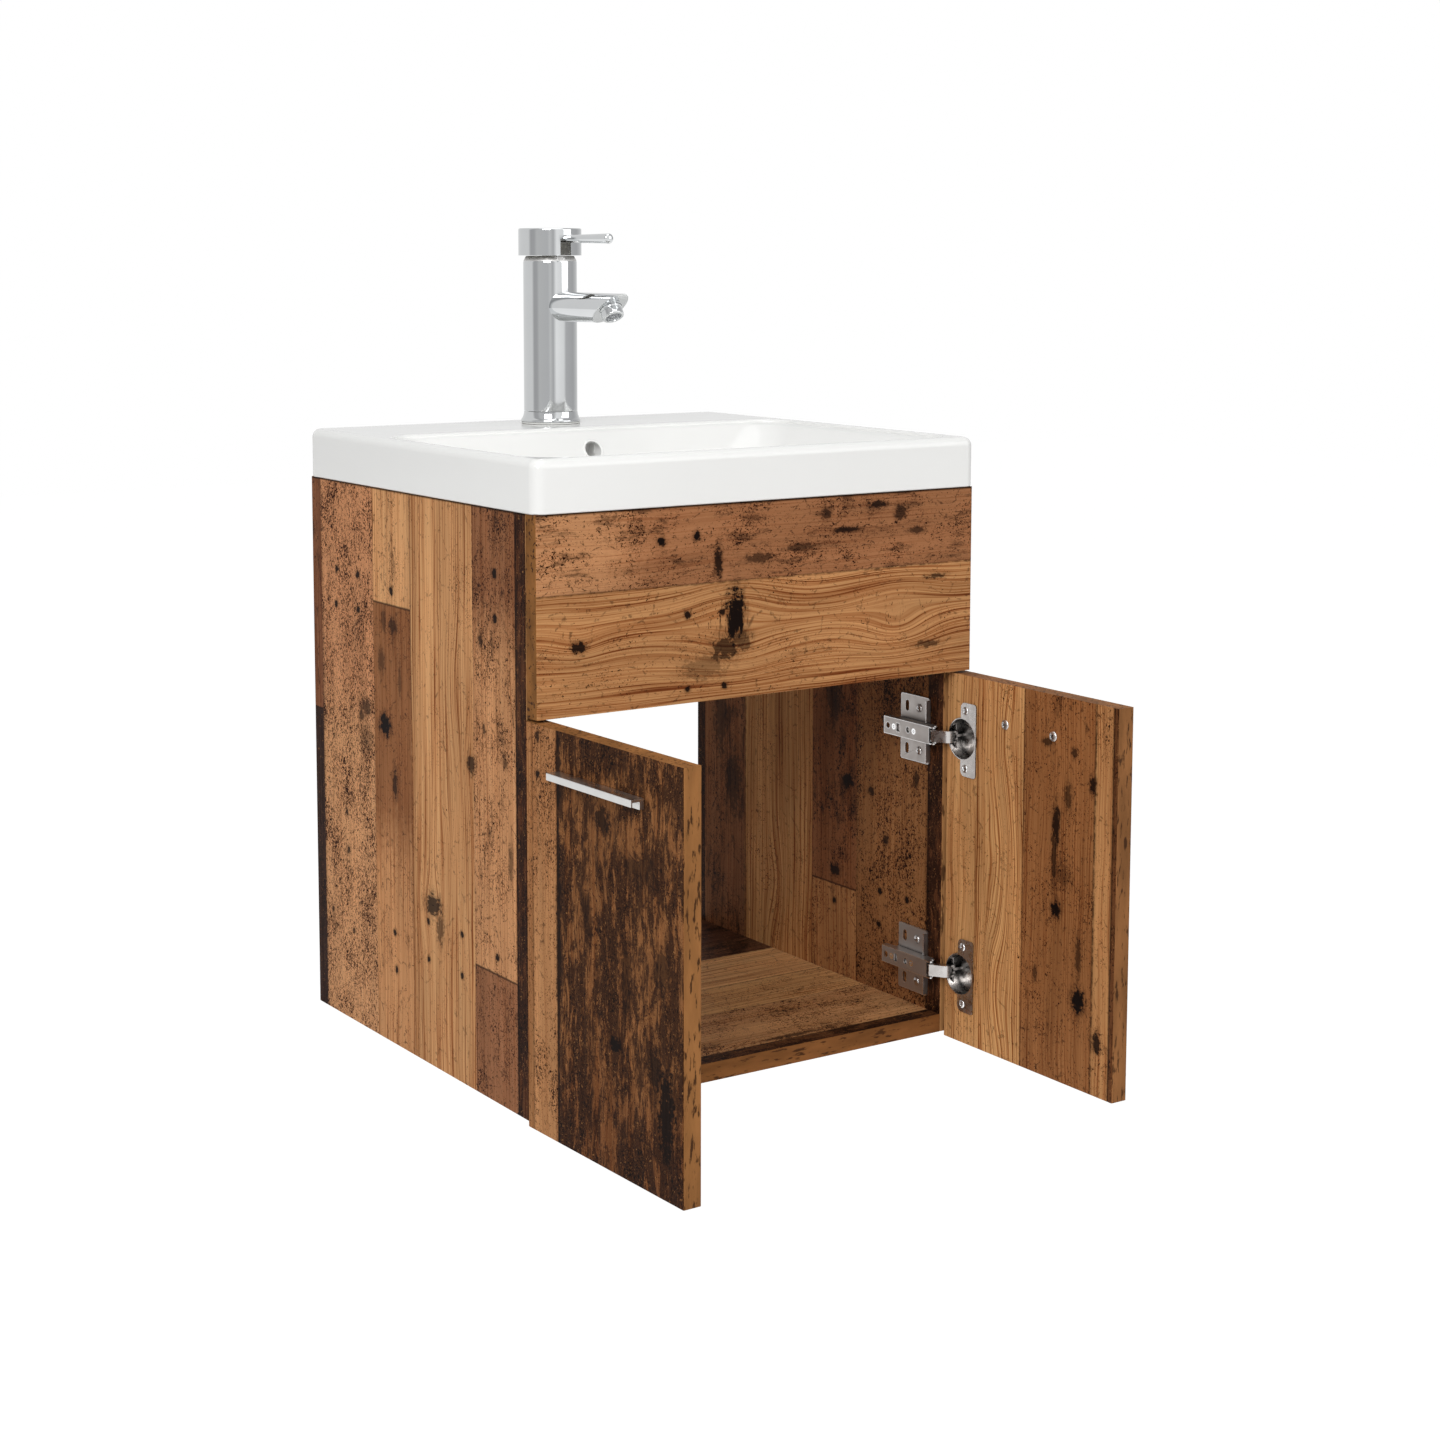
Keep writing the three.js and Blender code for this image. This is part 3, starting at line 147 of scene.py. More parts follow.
def fill_ramp(node: Node, stops: Sequence[tuple[float, Sequence[float]]]) -> None:
    """Give a colour ramp its stops.

    Args:
        node: the ramp.
        stops: place between 0 and 1, and the four numbers there, in order.
    """
    elements = node.color_ramp.elements
    while len(elements) > 1:
        elements.remove(elements[-1])
    elements[0].position, elements[0].color = stops[0]
    for place, value in stops[1:]:
        elements.new(place).color = value


# Meshes


def mesh_of(name: str, points: Iterable[Point], faces: Iterable[Sequence[int]]) -> Mesh:
    """A mesh from points in millimetres and faces, in metres and facing out."""
    mesh = bpy.data.meshes.new(name)
    mesh.from_pydata([tuple(c * MM for c in p) for p in points], [], [tuple(f) for f in faces])
    return tidy(mesh)


def tidy(mesh: Mesh, flatten: bool = False) -> Mesh:
    """Merge doubles and turn the faces outwards.

    Args:
        mesh: changed in place.
        flatten: also join faces that lie in one plane.

    Returns:
        The same mesh.
    """
    work = bmesh.new()
    work.from_mesh(mesh)
    bmesh.ops.remove_doubles(work, verts=work.verts, dist=2e-6)
    if flatten:
        bmesh.ops.dissolve_limit(
            work, angle_limit=math.radians(0.6), verts=work.verts, edges=work.edges
        )
    bmesh.ops.recalc_face_normals(work, faces=work.faces)
    work.to_mesh(mesh)
    work.free()
    mesh.update()
    return mesh


def loft(name: str, rings: Sequence[Ring], closed: bool = False) -> Mesh:
    """Skin a stack of rings of equal count.

    Args:
        name: for the mesh.
        rings: in order; each is a closed loop of points in millimetres.
        closed: join the last ring to the first instead of capping both ends.

    Returns:
        The mesh.
    """
    count = len(rings[0])
    points = [p for ring in rings for p in ring]
    faces: list[Sequence[int]] = []
    last = len(rings) if closed else len(rings) - 1
    for level in range(last):
        above = (level + 1) % len(rings)
        for i in range(count):
            j = (i + 1) % count
            faces.append(
                (level * count + i, level * count + j, above * count + j, above * count + i)
            )
    if not closed:
        faces.append(range(count))
        faces.append(range((len(rings) - 1) * count, len(rings) * count))
    return mesh_of(name, points, faces)


def circle(radius: float, z: float, steps: int, y: float = 0) -> Ring:
    """A level ring about a point of the Y axis."""
    turns = [2 * math.pi * i / steps for i in range(steps)]
    return [(radius * math.cos(a), y + radius * math.sin(a), z) for a in turns]


def rounded(
    profile: Sequence[tuple[float, float, float]], steps: int = 5
) -> list[tuple[float, float]]:
    """Round the corners of a turned profile.

    Args:
        profile: radius, height and corner radius of each point.
        steps: flats on each round.

    Returns:
        Radius and height of each point of the rounded profile.
    """
    made: list[tuple[float, float]] = []
    for i, (r, z, size) in enumerate(profile):
        here = Vector((r, z))
        if size <= 0 or i in (0, len(profile) - 1):
            made.append((r, z))
            continue
        before = Vector(profile[i - 1][:2]) - here
        after = Vector(profile[i + 1][:2]) - here
        reach = min(size, before.length * 0.49, after.length * 0.49)
        start = here + before.normalized() * reach
        end = here + after.normalized() * reach
        for k in range(steps + 1):
            t = k / steps
            spot = start * (1 - t) ** 2 + here * (2 * t * (1 - t)) + end * t**2
            made.append((spot.x, spot.y))
    return made


def turned(
    name: str, profile: Sequence[tuple[float, float]], steps: int = 128, ring: bool = False
) -> Mesh:
    """A solid turned about Z.

    Args:
        name: for the mesh.
        profile: radius and height up the outside; a ring's profile goes all round.
        steps: flats round it.
        ring: the profile closes on itself and stays off the axis.

    Returns:
        The mesh, on the Z axis.
    """
    if ring:
        return loft(name, [circle(r, z, steps) for r, z in profile], closed=True)
    inner = [(r, z) for r, z in profile if r > 1e-6]
    return loft(name, [circle(r, z, steps) for r, z in inner])


def quarter(steps: int) -> list[tuple[float, float]]:
    """Cosine and sine at the steps of a quarter turn."""
    angles = [math.radians(90 * i / steps) for i in range(steps + 1)]
    return [(math.cos(a), math.sin(a)) for a in angles]


def rod(name: str, radius: float, low: float, high: float, steps: int = 128) -> Mesh:
    """A round bar about the Z axis, between two heights."""
    return turned(name, [(radius, low), (radius, high)], steps)


def aimed(place: Point, degrees: float) -> Matrix:
    """From an upright axis to one tilted about X that starts at a place."""
    return Matrix.Translation(place) @ Matrix.Rotation(math.radians(degrees), 4, "X")


def box(name: str, low: Point, high: Point) -> Mesh:
    """A block between two corners, for cutting."""
    (x0, y0, z0), (x1, y1, z1) = low, high
    foot = [(x0, y0, z0), (x1, y0, z0), (x1, y1, z0), (x0, y1, z0)]
    head = [(x, y, z1) for x, y, _ in foot]
    return loft(name, [foot, head])


def placed(mesh: Mesh, matrix: Matrix) -> Mesh:
    """Move a mesh by a matrix whose shift is in millimetres."""
    place = matrix.copy()
    place.translation = matrix.translation * MM
    mesh.transform(place)
    if place.determinant() < 0:
        mesh.flip_normals()
    return mesh


def shifted(mesh: Mesh, x: float = 0, y: float = 0, z: float = 0) -> Mesh:
    """Shift a mesh by millimetres."""
    return placed(mesh, Matrix.Translation((x, y, z)))


def joined(name: str, meshes: Iterable[Mesh]) -> Mesh:
    """Put several meshes side by side in one, keeping their materials."""
    whole = bmesh.new()
    materials: list[Material] = []
    for mesh in meshes:
        start = len(whole.faces)
        whole.from_mesh(mesh)
        whole.faces.ensure_lookup_table()
        for face in whole.faces[start:]:
            face.material_index += len(materials)
        materials += [m for m in mesh.materials if m]
    made = bpy.data.meshes.new(name)
    whole.to_mesh(made)
    whole.free()
    for material in materials:
        made.materials.append(material)
    return made


class Cut(Enum):
    """What a boolean does."""

    AWAY = "DIFFERENCE"
    TOGETHER = "UNION"


def carved(
    base: Mesh, steps: Iterable[tuple[Cut, Mesh]]
) -> Mesh:
    """Cut solids away from a solid, or join them to it, in order.

    Args:
        base: the solid to start from.
        steps: what to do with each further solid.

    Returns:
        The resulting mesh.
    """
    thing = bpy.data.objects.new("carving", base)
    bpy.context.scene.collection.objects.link(thing)
    for how, mesh in steps:
        other = bpy.data.objects.new("tool", mesh)
        bpy.context.scene.collection.objects.link(other)
        modifier = thing.modifiers.new("carve", "BOOLEAN")
        modifier.operation = how.value
        modifier.solver = "EXACT"
        modifier.object = other
        graph = bpy.context.evaluated_depsgraph_get()
        result = bpy.data.meshes.new_from_object(thing.evaluated_get(graph))
        thing.modifiers.remove(modifier)
        thing.data = result
        bpy.data.objects.remove(other)
    made = thing.data
    bpy.data.objects.remove(thing)
    return tidy(made)


@dataclass(frozen=True)
class Edge:
    """How the edges of a finished piece are softened."""

    width: float = 0.3  # mm
    steps: int = 2
    from_deg: float = 28.0


def piece(
    name: str,
    mesh: Mesh,
    material: Material | None,
    body: str,
    stands_for: Sequence[str] = (),
    edge: Edge | None = Edge(),
) -> bpy.types.Object:
    """Make a finished piece of the object from a mesh.

    Args:
        name: of the piece.
        mesh: in metres, where it belongs.
        material: its finish, or None where the mesh has its own.
        body: what it moves with.
        stands_for: the solids that it replaces.
        edge: how its edges are softened, or None.

    Returns:
        The piece.
    """
    if material is not None:
        mesh.materials.clear()
        mesh.materials.append(material)
        for face in mesh.polygons:
            face.material_index = 0
    thing = bpy.data.objects.new(name, mesh)
    bpy.context.scene.collection.objects.link(thing)
    if edge is not None:
        bevel = thing.modifiers.new("edge", "BEVEL")
        bevel.width = edge.width * MM
        bevel.segments = edge.steps
        bevel.limit_method = "ANGLE"
        bevel.angle_limit = math.radians(edge.from_deg)
        bevel.use_clamp_overlap = True
        bevel.miter_outer = "MITER_ARC"
        graph = bpy.context.evaluated_depsgraph_get()
        thing.data = bpy.data.meshes.new_from_object(thing.evaluated_get(graph))
        thing.modifiers.remove(bevel)
    thing.data.name = name
    for face in thing.data.polygons:
        face.use_smooth = True
    thing.data.set_sharp_from_angle(angle=math.radians(32))
    weigh = thing.modifiers.new("flat faces lead", "WEIGHTED_NORMAL")
    weigh.keep_sharp = True
    weigh.weight = 60
    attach(thing, body)
    if stands_for:
        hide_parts(*stands_for)
    log.info("%s: %d faces on %s", name, len(thing.data.polygons), body)
    return thing


def copied(node: str) -> Mesh:
    """A merged copy of a solid's mesh, with its flat faces joined."""
    mesh = frame["nodes"][node].data.copy()
    mesh.materials.clear()
    return tidy(mesh, flatten=True)


def softened(
    node: str, how: str, finish: Material | None, body: str, edge: Edge | None
) -> None:
    """A copy of one of the CAD's solids with its edges rounded, as the piece for it.

    Args:
        node: the solid.
        how: ends the piece's name.
        finish: its material.
        body: what it moves with.
        edge: how far its edges are rounded.
    """
    piece(f"{node}_{how}", copied(node), finish, body, (node,), edge)


def dress(material: Material, *nodes: str) -> None:
    """Give solids that stay as they are a better material."""
    for node in nodes:
        slots = frame["nodes"][node].material_slots
        for slot in slots:
            slot.material = material
        log.info("%s: %s", node, material.name)


# Finishes


@dataclass(frozen=True)
class Turn:
    """A place along a plank where its tone changes."""

    at: float  # mm along the grain
    colour: str  # of what lies below
    sawn: bool = True  # a sawn end, or else a slow fade


@dataclass(frozen=True)
class Plank:
    """One plank of the printed laminate, and how it is worn."""

    start: float  # where it begins across the face, mm
    colour: str
    turns: tuple[Turn, ...] = ()  # from the top down, two at most
    speckle: float = 0.25
    grain: float = 0.5
    stain: float = 0.15
    joint: float = 0.5  # how dark the joint at its start is


@dataclass(frozen=True)
class Mark:
    """A knot, burn or nail hole at one place of a face."""

    across: float
    along: float
    half_across: float
    half_along: float
    strength: float = 0.95


@dataclass(frozen=True)
class Swirl:
    """A place where the grain bends: round a knot, or up in an arch."""

    across: float
    along: float
    half_across: float
    half_along: float
    open_up: float = 0.0  # share by which the lines make room
    lift: float = 0.0  # height of the arch, mm


@dataclass(frozen=True)
class Field:
    """A noise laid over the face, with its fineness in waves per millimetre."""

    across: float
    along: float
    detail: float
    roughness: float
    twist: float = 0.0


FIELDS = {
    "tone": Field(0.045, 0.0050, 5.0, 0.58),
    "lines": Field(0.80, 0.0060, 4.0, 0.60),
    "streaks": Field(0.150, 0.034, 8.0, 0.76, 0.6),
    "flecks": Field(0.52, 0.40, 3.0, 0.62, 1.5),
    "patches": Field(0.036, 0.022, 5.0, 0.62),
    "blots": Field(0.24, 0.20, 5.0, 0.72),
}


@dataclass
class Laid:
    """What the planks give to each place of the face, as sockets."""

    tone: Any
    joint: Any
    speckle: Any
    grain: Any
    stain: Any
    seed: Any


@dataclass(frozen=True)
class PlankLaminate:
    """Melamine board with a print of old, reclaimed pine planks.

    It gives the eye planks of different age side by side, ragged joints, sawn ends, nail
    holes, knots and burns, all flat under one satin film. The edge band is plainer.
    """

    name: str
    across: str  # axis across the planks
    along: str  # axis of the grain
    seen: str  # side that the planks are laid out on, such as -x
    planks: tuple[Plank, ...]
    span: tuple[float, float]
    marks: tuple[Mark, ...] = ()
    swirls: tuple[Swirl, ...] = ()
    band: str = "#86592f"
    dashes: float = 0.75
    seed: float = 1.0
    wave: float = 5.0  # how far the grain wanders, mm
    fine: float = 1.0  # how close the lines of the grain are
    painted_shadow_height: float = 9000.0  # height of the painted shadow line under what lies on the board, mm
    ragged: float = 2.4  # how ragged the joints are, mm

    def build(self) -> Material:
        """Build the material.

        Returns:
            The finished material.
        """
        material, g = new_material(self.name)
        spots = g.add("TexCoord", out=None)
        size = g.add("VectorMath.MULTIPLY", spots.outputs["Object"], (METRE,) * 3)
        axes = g.add("SeparateXYZ", size, out=None)
        facing = g.add("SeparateXYZ", spots.outputs["Normal"], out=None)
        sign, normal_axis = self.seen[0], self.seen[1].upper()
        out_of = facing.outputs[normal_axis]
        level = g.add("Math.ABSOLUTE", out_of)
        broad = g.add("Math.GREATER_THAN", level, 0.75)
        compare = "GREATER_THAN" if sign == "+" else "LESS_THAN"
        shown = g.add("Math", out_of, 0.0, operation=compare)
        s = axes.outputs[self.across.upper()]
        t = axes.outputs[self.along.upper()]
        depth = axes.outputs[normal_axis]
        low, high = self.span
        place = g.add("MapRange", s, low, high)
        mirror = g.add("Math.SUBTRACT", 1.0, place)
        u = g.add("Mix", shown, None, mirror, place)
        away = g.add("Math.SUBTRACT", 1.0, shown)

        laid = self.laid_out(g, u, s, t, away)
        flat = g.add("CombineXYZ", s, t, 0.0)
        bent = self.bent(g, flat, s, t, laid.seed)
        noise = {}
        for field, kind in FIELDS.items():
            across = kind.across * (self.fine if field == "lines" else 1.0)
            at = g.add("VectorMath.MULTIPLY", bent, (across, kind.along, 0.0))
            noise[field] = g.add(
                "TexNoise", {"Vector": at, "W": laid.seed, "Scale": 1.0,
                "Detail": kind.detail, "Roughness": kind.roughness,
                "Distortion": kind.twist}, noise_dimensions="4D",
            )
        printed, deep = self.worn(g, laid, bent, noise)
        halo, dark = self.marked(g, flat, noise["blots"], shown)
        printed = g.add("MixRGB", halo, printed, linear("#3d2314"))
        dark = g.add("Math.MAXIMUM", laid.joint, dark, use_clamp=True)
        # Painted shadow: a dark line just under the board's top edge, where the basin overhangs it,
        # joined to the printed joints and marks.
        under = g.add("MapRange", axes.outputs["Z"], self.painted_shadow_height - 2.0,
                      self.painted_shadow_height - 0.7, 0.0, 0.90)
        dark = g.add("Math.MAXIMUM", dark, under)
        printed = g.add("MixRGB", dark, printed, linear("#120805"))
        band = self.banded(g, s, t, depth)
        colour = g.add("MixRGB", broad, band, printed)
        self.film(g, colour, noise["lines"], g.add("Math.MAXIMUM", dark, deep))
        return material

    def laid_out(self, g: Graph, u: Any, s: Any, t: Any, away: Any) -> Laid:
        """Lay the planks side by side.

        Args:
            g: the material's graph.
            u: place across the face, 0 to 1.
            s: place across, mm.
            t: place along the grain, mm.
            away: 1 on the side that the photograph doesn't show.

        Returns:
            Tone, dark joints, wear and a seed for each place.
        """
        low, high = self.span
        width = high - low
        reach = 1400.0  # so that no turn is at or below the foot, on neither side
        rough = g.add(
            "TexNoise", {"Vector": g.add("CombineXYZ", s, t, 0.0),
            "Scale": 0.16, "Detail": 5.0, "Roughness": 0.66}, noise_dimensions="3D",
        )
        sway = g.add("Math.ADD", rough, -0.5)
        u = g.add("Math.MULTIPLY_ADD", sway, self.ragged / width, u)

        tables: dict[str, list[tuple[float, tuple[float, ...]]]] = {
            name: [] for name in ("first", "second", "third", "place", "soft", "look")
        }
        for i, plank in enumerate(self.planks):
            at = min(max((plank.start - low) / width, 0.0), 1.0)
            turns = list(plank.turns)
            while len(turns) < 2:
                last = turns[-1].colour if turns else plank.colour
                turns.append(Turn(-9000.0, last))
            tables["first"].append((at, linear(plank.colour)))
            tables["second"].append((at, linear(turns[0].colour)))
            tables["third"].append((at, linear(turns[1].colour)))
            one, two = (min(max(turn.at / reach + 0.5, 0.0), 1.0) for turn in turns)
            tables["place"].append((at, (one, two, (i * 0.37 + self.seed * 0.11) % 1.0, 1.0)))
            tables["soft"].append((at, (1.0 - turns[0].sawn, 1.0 - turns[1].sawn, 0.0, 1.0)))
            tables["look"].append((at, (plank.speckle, plank.grain, plank.stain, 1.0)))
        found = {}
        for name, stops in tables.items():
            node = g.add("ValToRGB", u, out=None)
            node.color_ramp.interpolation = "CONSTANT"
            fill_ramp(node, stops)
            found[name] = node.outputs[0]
        place = g.add("SeparateColor", found["place"], out=None)
        soft = g.add("SeparateColor", found["soft"], out=None)
        look = g.add("SeparateColor", found["look"], out=None)
        level = g.add("Math.MULTIPLY_ADD", away, -137.0, t)

        tone, joint = found["third"], 0.0
        seed = g.add("Math.MULTIPLY_ADD", place.outputs[2], 60.0, away)
        for number, upper in ((1, found["second"]), (0, found["first"])):
            turn = g.add("MapRange", place.outputs[number], 0.0, 1.0, -reach / 2, reach / 2)
            give = g.add("Math.MULTIPLY_ADD", soft.outputs[number], 70.0, 1.2)
            sways = g.add("Math.MULTIPLY_ADD", sway, give, level)
            past = g.add("Math.SUBTRACT", sways, turn)
            edge = g.add("Math.MULTIPLY_ADD", soft.outputs[number], 26.0, 0.45)
            under = g.add("Math.MULTIPLY", edge, -1.0)
            above = g.add("MapRange", past, under, edge)
            tone = g.add("MixRGB", above, tone, upper)
            gap = g.add("Math.ABSOLUTE", past)
            line = g.add("MapRange", gap, 0.4, 1.3, 0.75, 0.0)
            hard = g.add("Math.SUBTRACT", 1.0, soft.outputs[number])
            line = g.add("Math.MULTIPLY", line, hard)
            joint = g.add("Math.MAXIMUM", joint, line)
            step = g.add("Math.MULTIPLY", above, hard)
            seed = g.add("Math.MULTIPLY_ADD", step, 5.0, seed)

        joints = [(0.0, (0.0, 0.0, 0.0, 1.0))]
        for plank in self.planks[1:]:
            at = (plank.start - low) / width
            half = (0.35 + 0.9 * plank.joint**2) / width
            full = (plank.joint,) * 3 + (1.0,)
            joints += [
                (at - half * 1.8, (0.0, 0.0, 0.0, 1.0)), (at - half * 0.5, full),
                (at + half * 0.5, full), (at + half * 1.8, (0.0, 0.0, 0.0, 1.0)),
            ]
        line = g.add("ValToRGB", u, out=None)
        fill_ramp(line, joints)
        strength = g.add("MapRange", rough, 0.34, 0.56, 0.35, 1.0)
        sides = g.add("Math.MULTIPLY", line.outputs[0], strength)
        joint = g.add("Math.MAXIMUM", joint, sides)
        return Laid(tone, joint, look.outputs[0], look.outputs[1], look.outputs[2], seed)

    def bent(self, g: Graph, flat: Any, s: Any, t: Any, seed: Any) -> Any:
        """Let the grain wander, go round knots and rise in arches.

        Args:
            g: the material's graph.
            flat: place on the face, mm.
            s: place across, mm.
            t: place along, mm.
            seed: one number for each plank.

        Returns:
            The place that the grain is read at.
        """
        slow = g.add("VectorMath.MULTIPLY", flat, (0.016, 0.0075, 0.0))
        wander = g.add(
            "TexNoise", {"Vector": slow, "W": seed, "Scale": 1.0, "Detail": 2.0,
            "Roughness": 0.45}, noise_dimensions="4D",
        )
        centred = g.add("Math.ADD", wander, -0.5)
        place = g.add("Math.MULTIPLY_ADD", centred, self.wave * 2, s)
        for swirl in self.swirls:
            scale = (1 / swirl.half_across, 1 / swirl.half_along, 0.0)
            middle = (-swirl.across / swirl.half_across, -swirl.along / swirl.half_along, 0.0)
            off = g.add("VectorMath.MULTIPLY_ADD", flat, scale, middle)
            square = g.add("VectorMath.DOT_PRODUCT", off, off, out="Value")
            less = g.add("Math.MULTIPLY", square, -1.0)
            near = g.add("Math.EXPONENT", less)
            push = g.add(
                "Math.MULTIPLY_ADD", s, -swirl.open_up, swirl.lift + swirl.open_up * swirl.across,
            )
            place = g.add("Math.MULTIPLY_ADD", near, push, place)
        return g.add("CombineXYZ", place, t, 0.0)

    def worn(self, g: Graph, laid: Laid, bent: Any, noise: dict[str, Any]) -> tuple[Any, Any]:
        """Print the grain, the flecks, the stains and the scratches on the planks' tones.

        Args:
            g: the material's graph.
            laid: what the planks give to each place.
            bent: where the grain is read.
            noise: the fields.

        Returns:
            The print, and how deep its dark parts look.
        """
        tone = laid.tone
        drift = g.add("MapRange", noise["tone"], 0.30, 0.70, 0.84, 1.22)
        body = g.add("VectorMath.SCALE", tone, {"Scale": drift})
        red = g.add("MapRange", noise["patches"], 0.42, 0.62, 0.0, 0.30)
        ruddy = g.add("MixRGB", 1.0, body, (1.04, 0.90, 0.84, 1.0), blend_type="MULTIPLY")
        body = g.add("MixRGB", red, body, ruddy)

        for low, high, colour in ((0.44, 0.58, "#c6a48c"), (0.57, 0.62, "#a87e60")):
            darker = g.add("MixRGB", 1.0, body, linear(colour), blend_type="MULTIPLY")
            line = g.add("MapRange", noise["lines"], low, high)
            line = g.add("Math.MULTIPLY", line, laid.grain)
            body = g.add("MixRGB", line, body, darker)
        light = g.add("VectorMath.SCALE", body, {"Scale": 1.20})
        shine = g.add("MapRange", noise["lines"], 0.43, 0.36, 0.0, 0.7)
        shine = g.add("Math.MULTIPLY", shine, laid.grain)
        body = g.add("MixRGB", shine, body, light)

        low = g.add("Math.MULTIPLY_ADD", laid.stain, -0.22, 0.92)
        high = g.add("Math.ADD", low, 0.10)
        heavy = g.add("Math.MULTIPLY_ADD", noise["patches"], 0.55, noise["streaks"])
        burnt = g.add("MapRange", heavy, low, high)
        share = g.add("Math.MULTIPLY_ADD", laid.stain, 0.9, 0.25)
        burnt = g.add("Math.MULTIPLY", burnt, share, use_clamp=True)
        charred = g.add("MixRGB", 0.88, body, linear("#27130a"))
        body = g.add("MixRGB", burnt, body, charred)

        more = g.add("Math.MULTIPLY_ADD", noise["patches"], 0.45, noise["flecks"])
        low = g.add("Math.MULTIPLY_ADD", laid.speckle, -0.13, 0.875)
        high = g.add("Math.ADD", low, 0.032)
        dots = g.add("MapRange", more, low, high)
        black = g.add("MixRGB", 1.0, body, linear("#38200f"), blend_type="MULTIPLY")
        body = g.add("MixRGB", dots, body, black)
        chips = g.add("MapRange", noise["flecks"], 0.39, 0.32, 0.0, 0.80)
        chips = g.add("Math.MULTIPLY", chips, laid.stain)
        body = g.add("MixRGB", chips, body, linear("#b07c4c"))

        lay = g.add("VectorMath.MULTIPLY", bent, (0.062, 0.044, 0.0))
        sway = g.add("VectorMath.MULTIPLY", noise["patches"], (1.6,) * 3)
        lay = g.add("VectorMath.ADD", lay, sway)
        cracks = g.add(
            "TexVoronoi", {"Vector": lay, "Scale": 1.0}, feature="DISTANCE_TO_EDGE",
            out="Distance",
        )
        scratch = g.add("MapRange", cracks, 0.012, 0.045, 1.0, 0.0)
        kept = g.add("MapRange", noise["blots"], 0.50, 0.58)
        some = g.add("Math.MULTIPLY_ADD", laid.stain, 0.50, 0.50)
        scratch = g.add("Math.MULTIPLY", scratch, kept)
        scratch = g.add("Math.MULTIPLY", scratch, some, use_clamp=True)
        body = g.add("MixRGB", scratch, body, linear("#2a160d"))
        return body, g.add("Math.MULTIPLY", burnt, 0.4)

    def marked(self, g: Graph, flat: Any, blots: Any, shown: Any) -> tuple[Any, Any]:
        """Put the knots, burns and nail holes in their places.

        Args:
            g: the material's graph.
            flat: place on the face, mm.
            blots: noise that makes the marks ragged.
            shown: 1 on the side that carries them.

        Returns:
            How strong the soft stain round a mark is, and how dark its core.
        """
        halo: Any = 0.0
        core: Any = 0.0
        for mark in self.marks:
            scale = (1 / mark.half_across, 1 / mark.half_along, 0.0)
            middle = (-mark.across / mark.half_across, -mark.along / mark.half_along, 0.0)
            off = g.add("VectorMath.MULTIPLY_ADD", flat, scale, middle)
            far = g.add("VectorMath.LENGTH", off, out="Value")
            big = min(max(mark.half_across, mark.half_along) / 4, 1.0)
            ragged = g.add("Math.MULTIPLY_ADD", blots, 4.4 * big, far)
            rim = 1.0 + 2.20 * big
            spot = g.add("MapRange", ragged, rim - 0.14, rim + 0.16, mark.strength, 0.0)
            core = g.add("Math.MAXIMUM", core, spot)
            soft = g.add("MapRange", ragged, rim, rim + 0.9, 0.55 * mark.strength, 0.0)
            halo = g.add("Math.MAXIMUM", halo, soft)
        halo = g.add("Math.MULTIPLY", halo, shown)
        return halo, g.add("Math.MULTIPLY", core, shown)

    def banded(self, g: Graph, s: Any, t: Any, depth: Any) -> Any:
        """The edge band: one colour with short dark dashes.

        Args:
            g: the material's graph.
            s: place across, mm.
            t: place along, mm.
            depth: place through the board, mm.

        Returns:
            Its colour.
        """
        at = g.add("CombineXYZ", s, t, depth)
        short = g.add("VectorMath.MULTIPLY", at, (0.33, 0.075, 0.33))
        dash = g.add("TexNoise", {"Vector": short, "Scale": 1.0, "Detail": 3.0, "Roughness": 0.55})
        slow = g.add("VectorMath.MULTIPLY", at, (0.03, 0.012, 0.06))
        drift = g.add("TexNoise", {"Vector": slow, "Scale": 1.0, "Detail": 5.0, "Roughness": 0.6})
        shift = g.add("MapRange", drift, 0.35, 0.65, 0.72, 1.25)
        base = g.add("VectorMath.SCALE", linear(self.band)[:3], {"Scale": shift})
        dark = g.add("MapRange", dash, 0.57, 0.64, 0.0, self.dashes)
        return g.add("MixRGB", dark, base, linear("#2c1a11"))

    def film(self, g: Graph, colour: Any, fine: Any, dark: Any) -> None:
        """Lay the satin film over the print: faint relief and a low sheen.

        Args:
            g: the material's graph.
            colour: the print.
            fine: grain, for the relief.
            dark: joints, marks and the painted shadow line under the top edge, which lie a little
                deeper.
        """
        relief = g.add("Math.MULTIPLY_ADD", dark, -0.8, fine)
        bump = g.add("Bump", {"Strength": 0.14, "Distance": 0.0004, "Height": relief})
        gloss = g.add("MapRange", fine, 0.35, 0.65, 0.50, 0.64)
        shader = g.add(
            "BsdfPrincipled", {"Base Color": colour, "Roughness": gloss,
            "Normal": bump, "IOR": 1.46, "Specular IOR Level": 0.05},
        )
        g.add("OutputMaterial", shader)


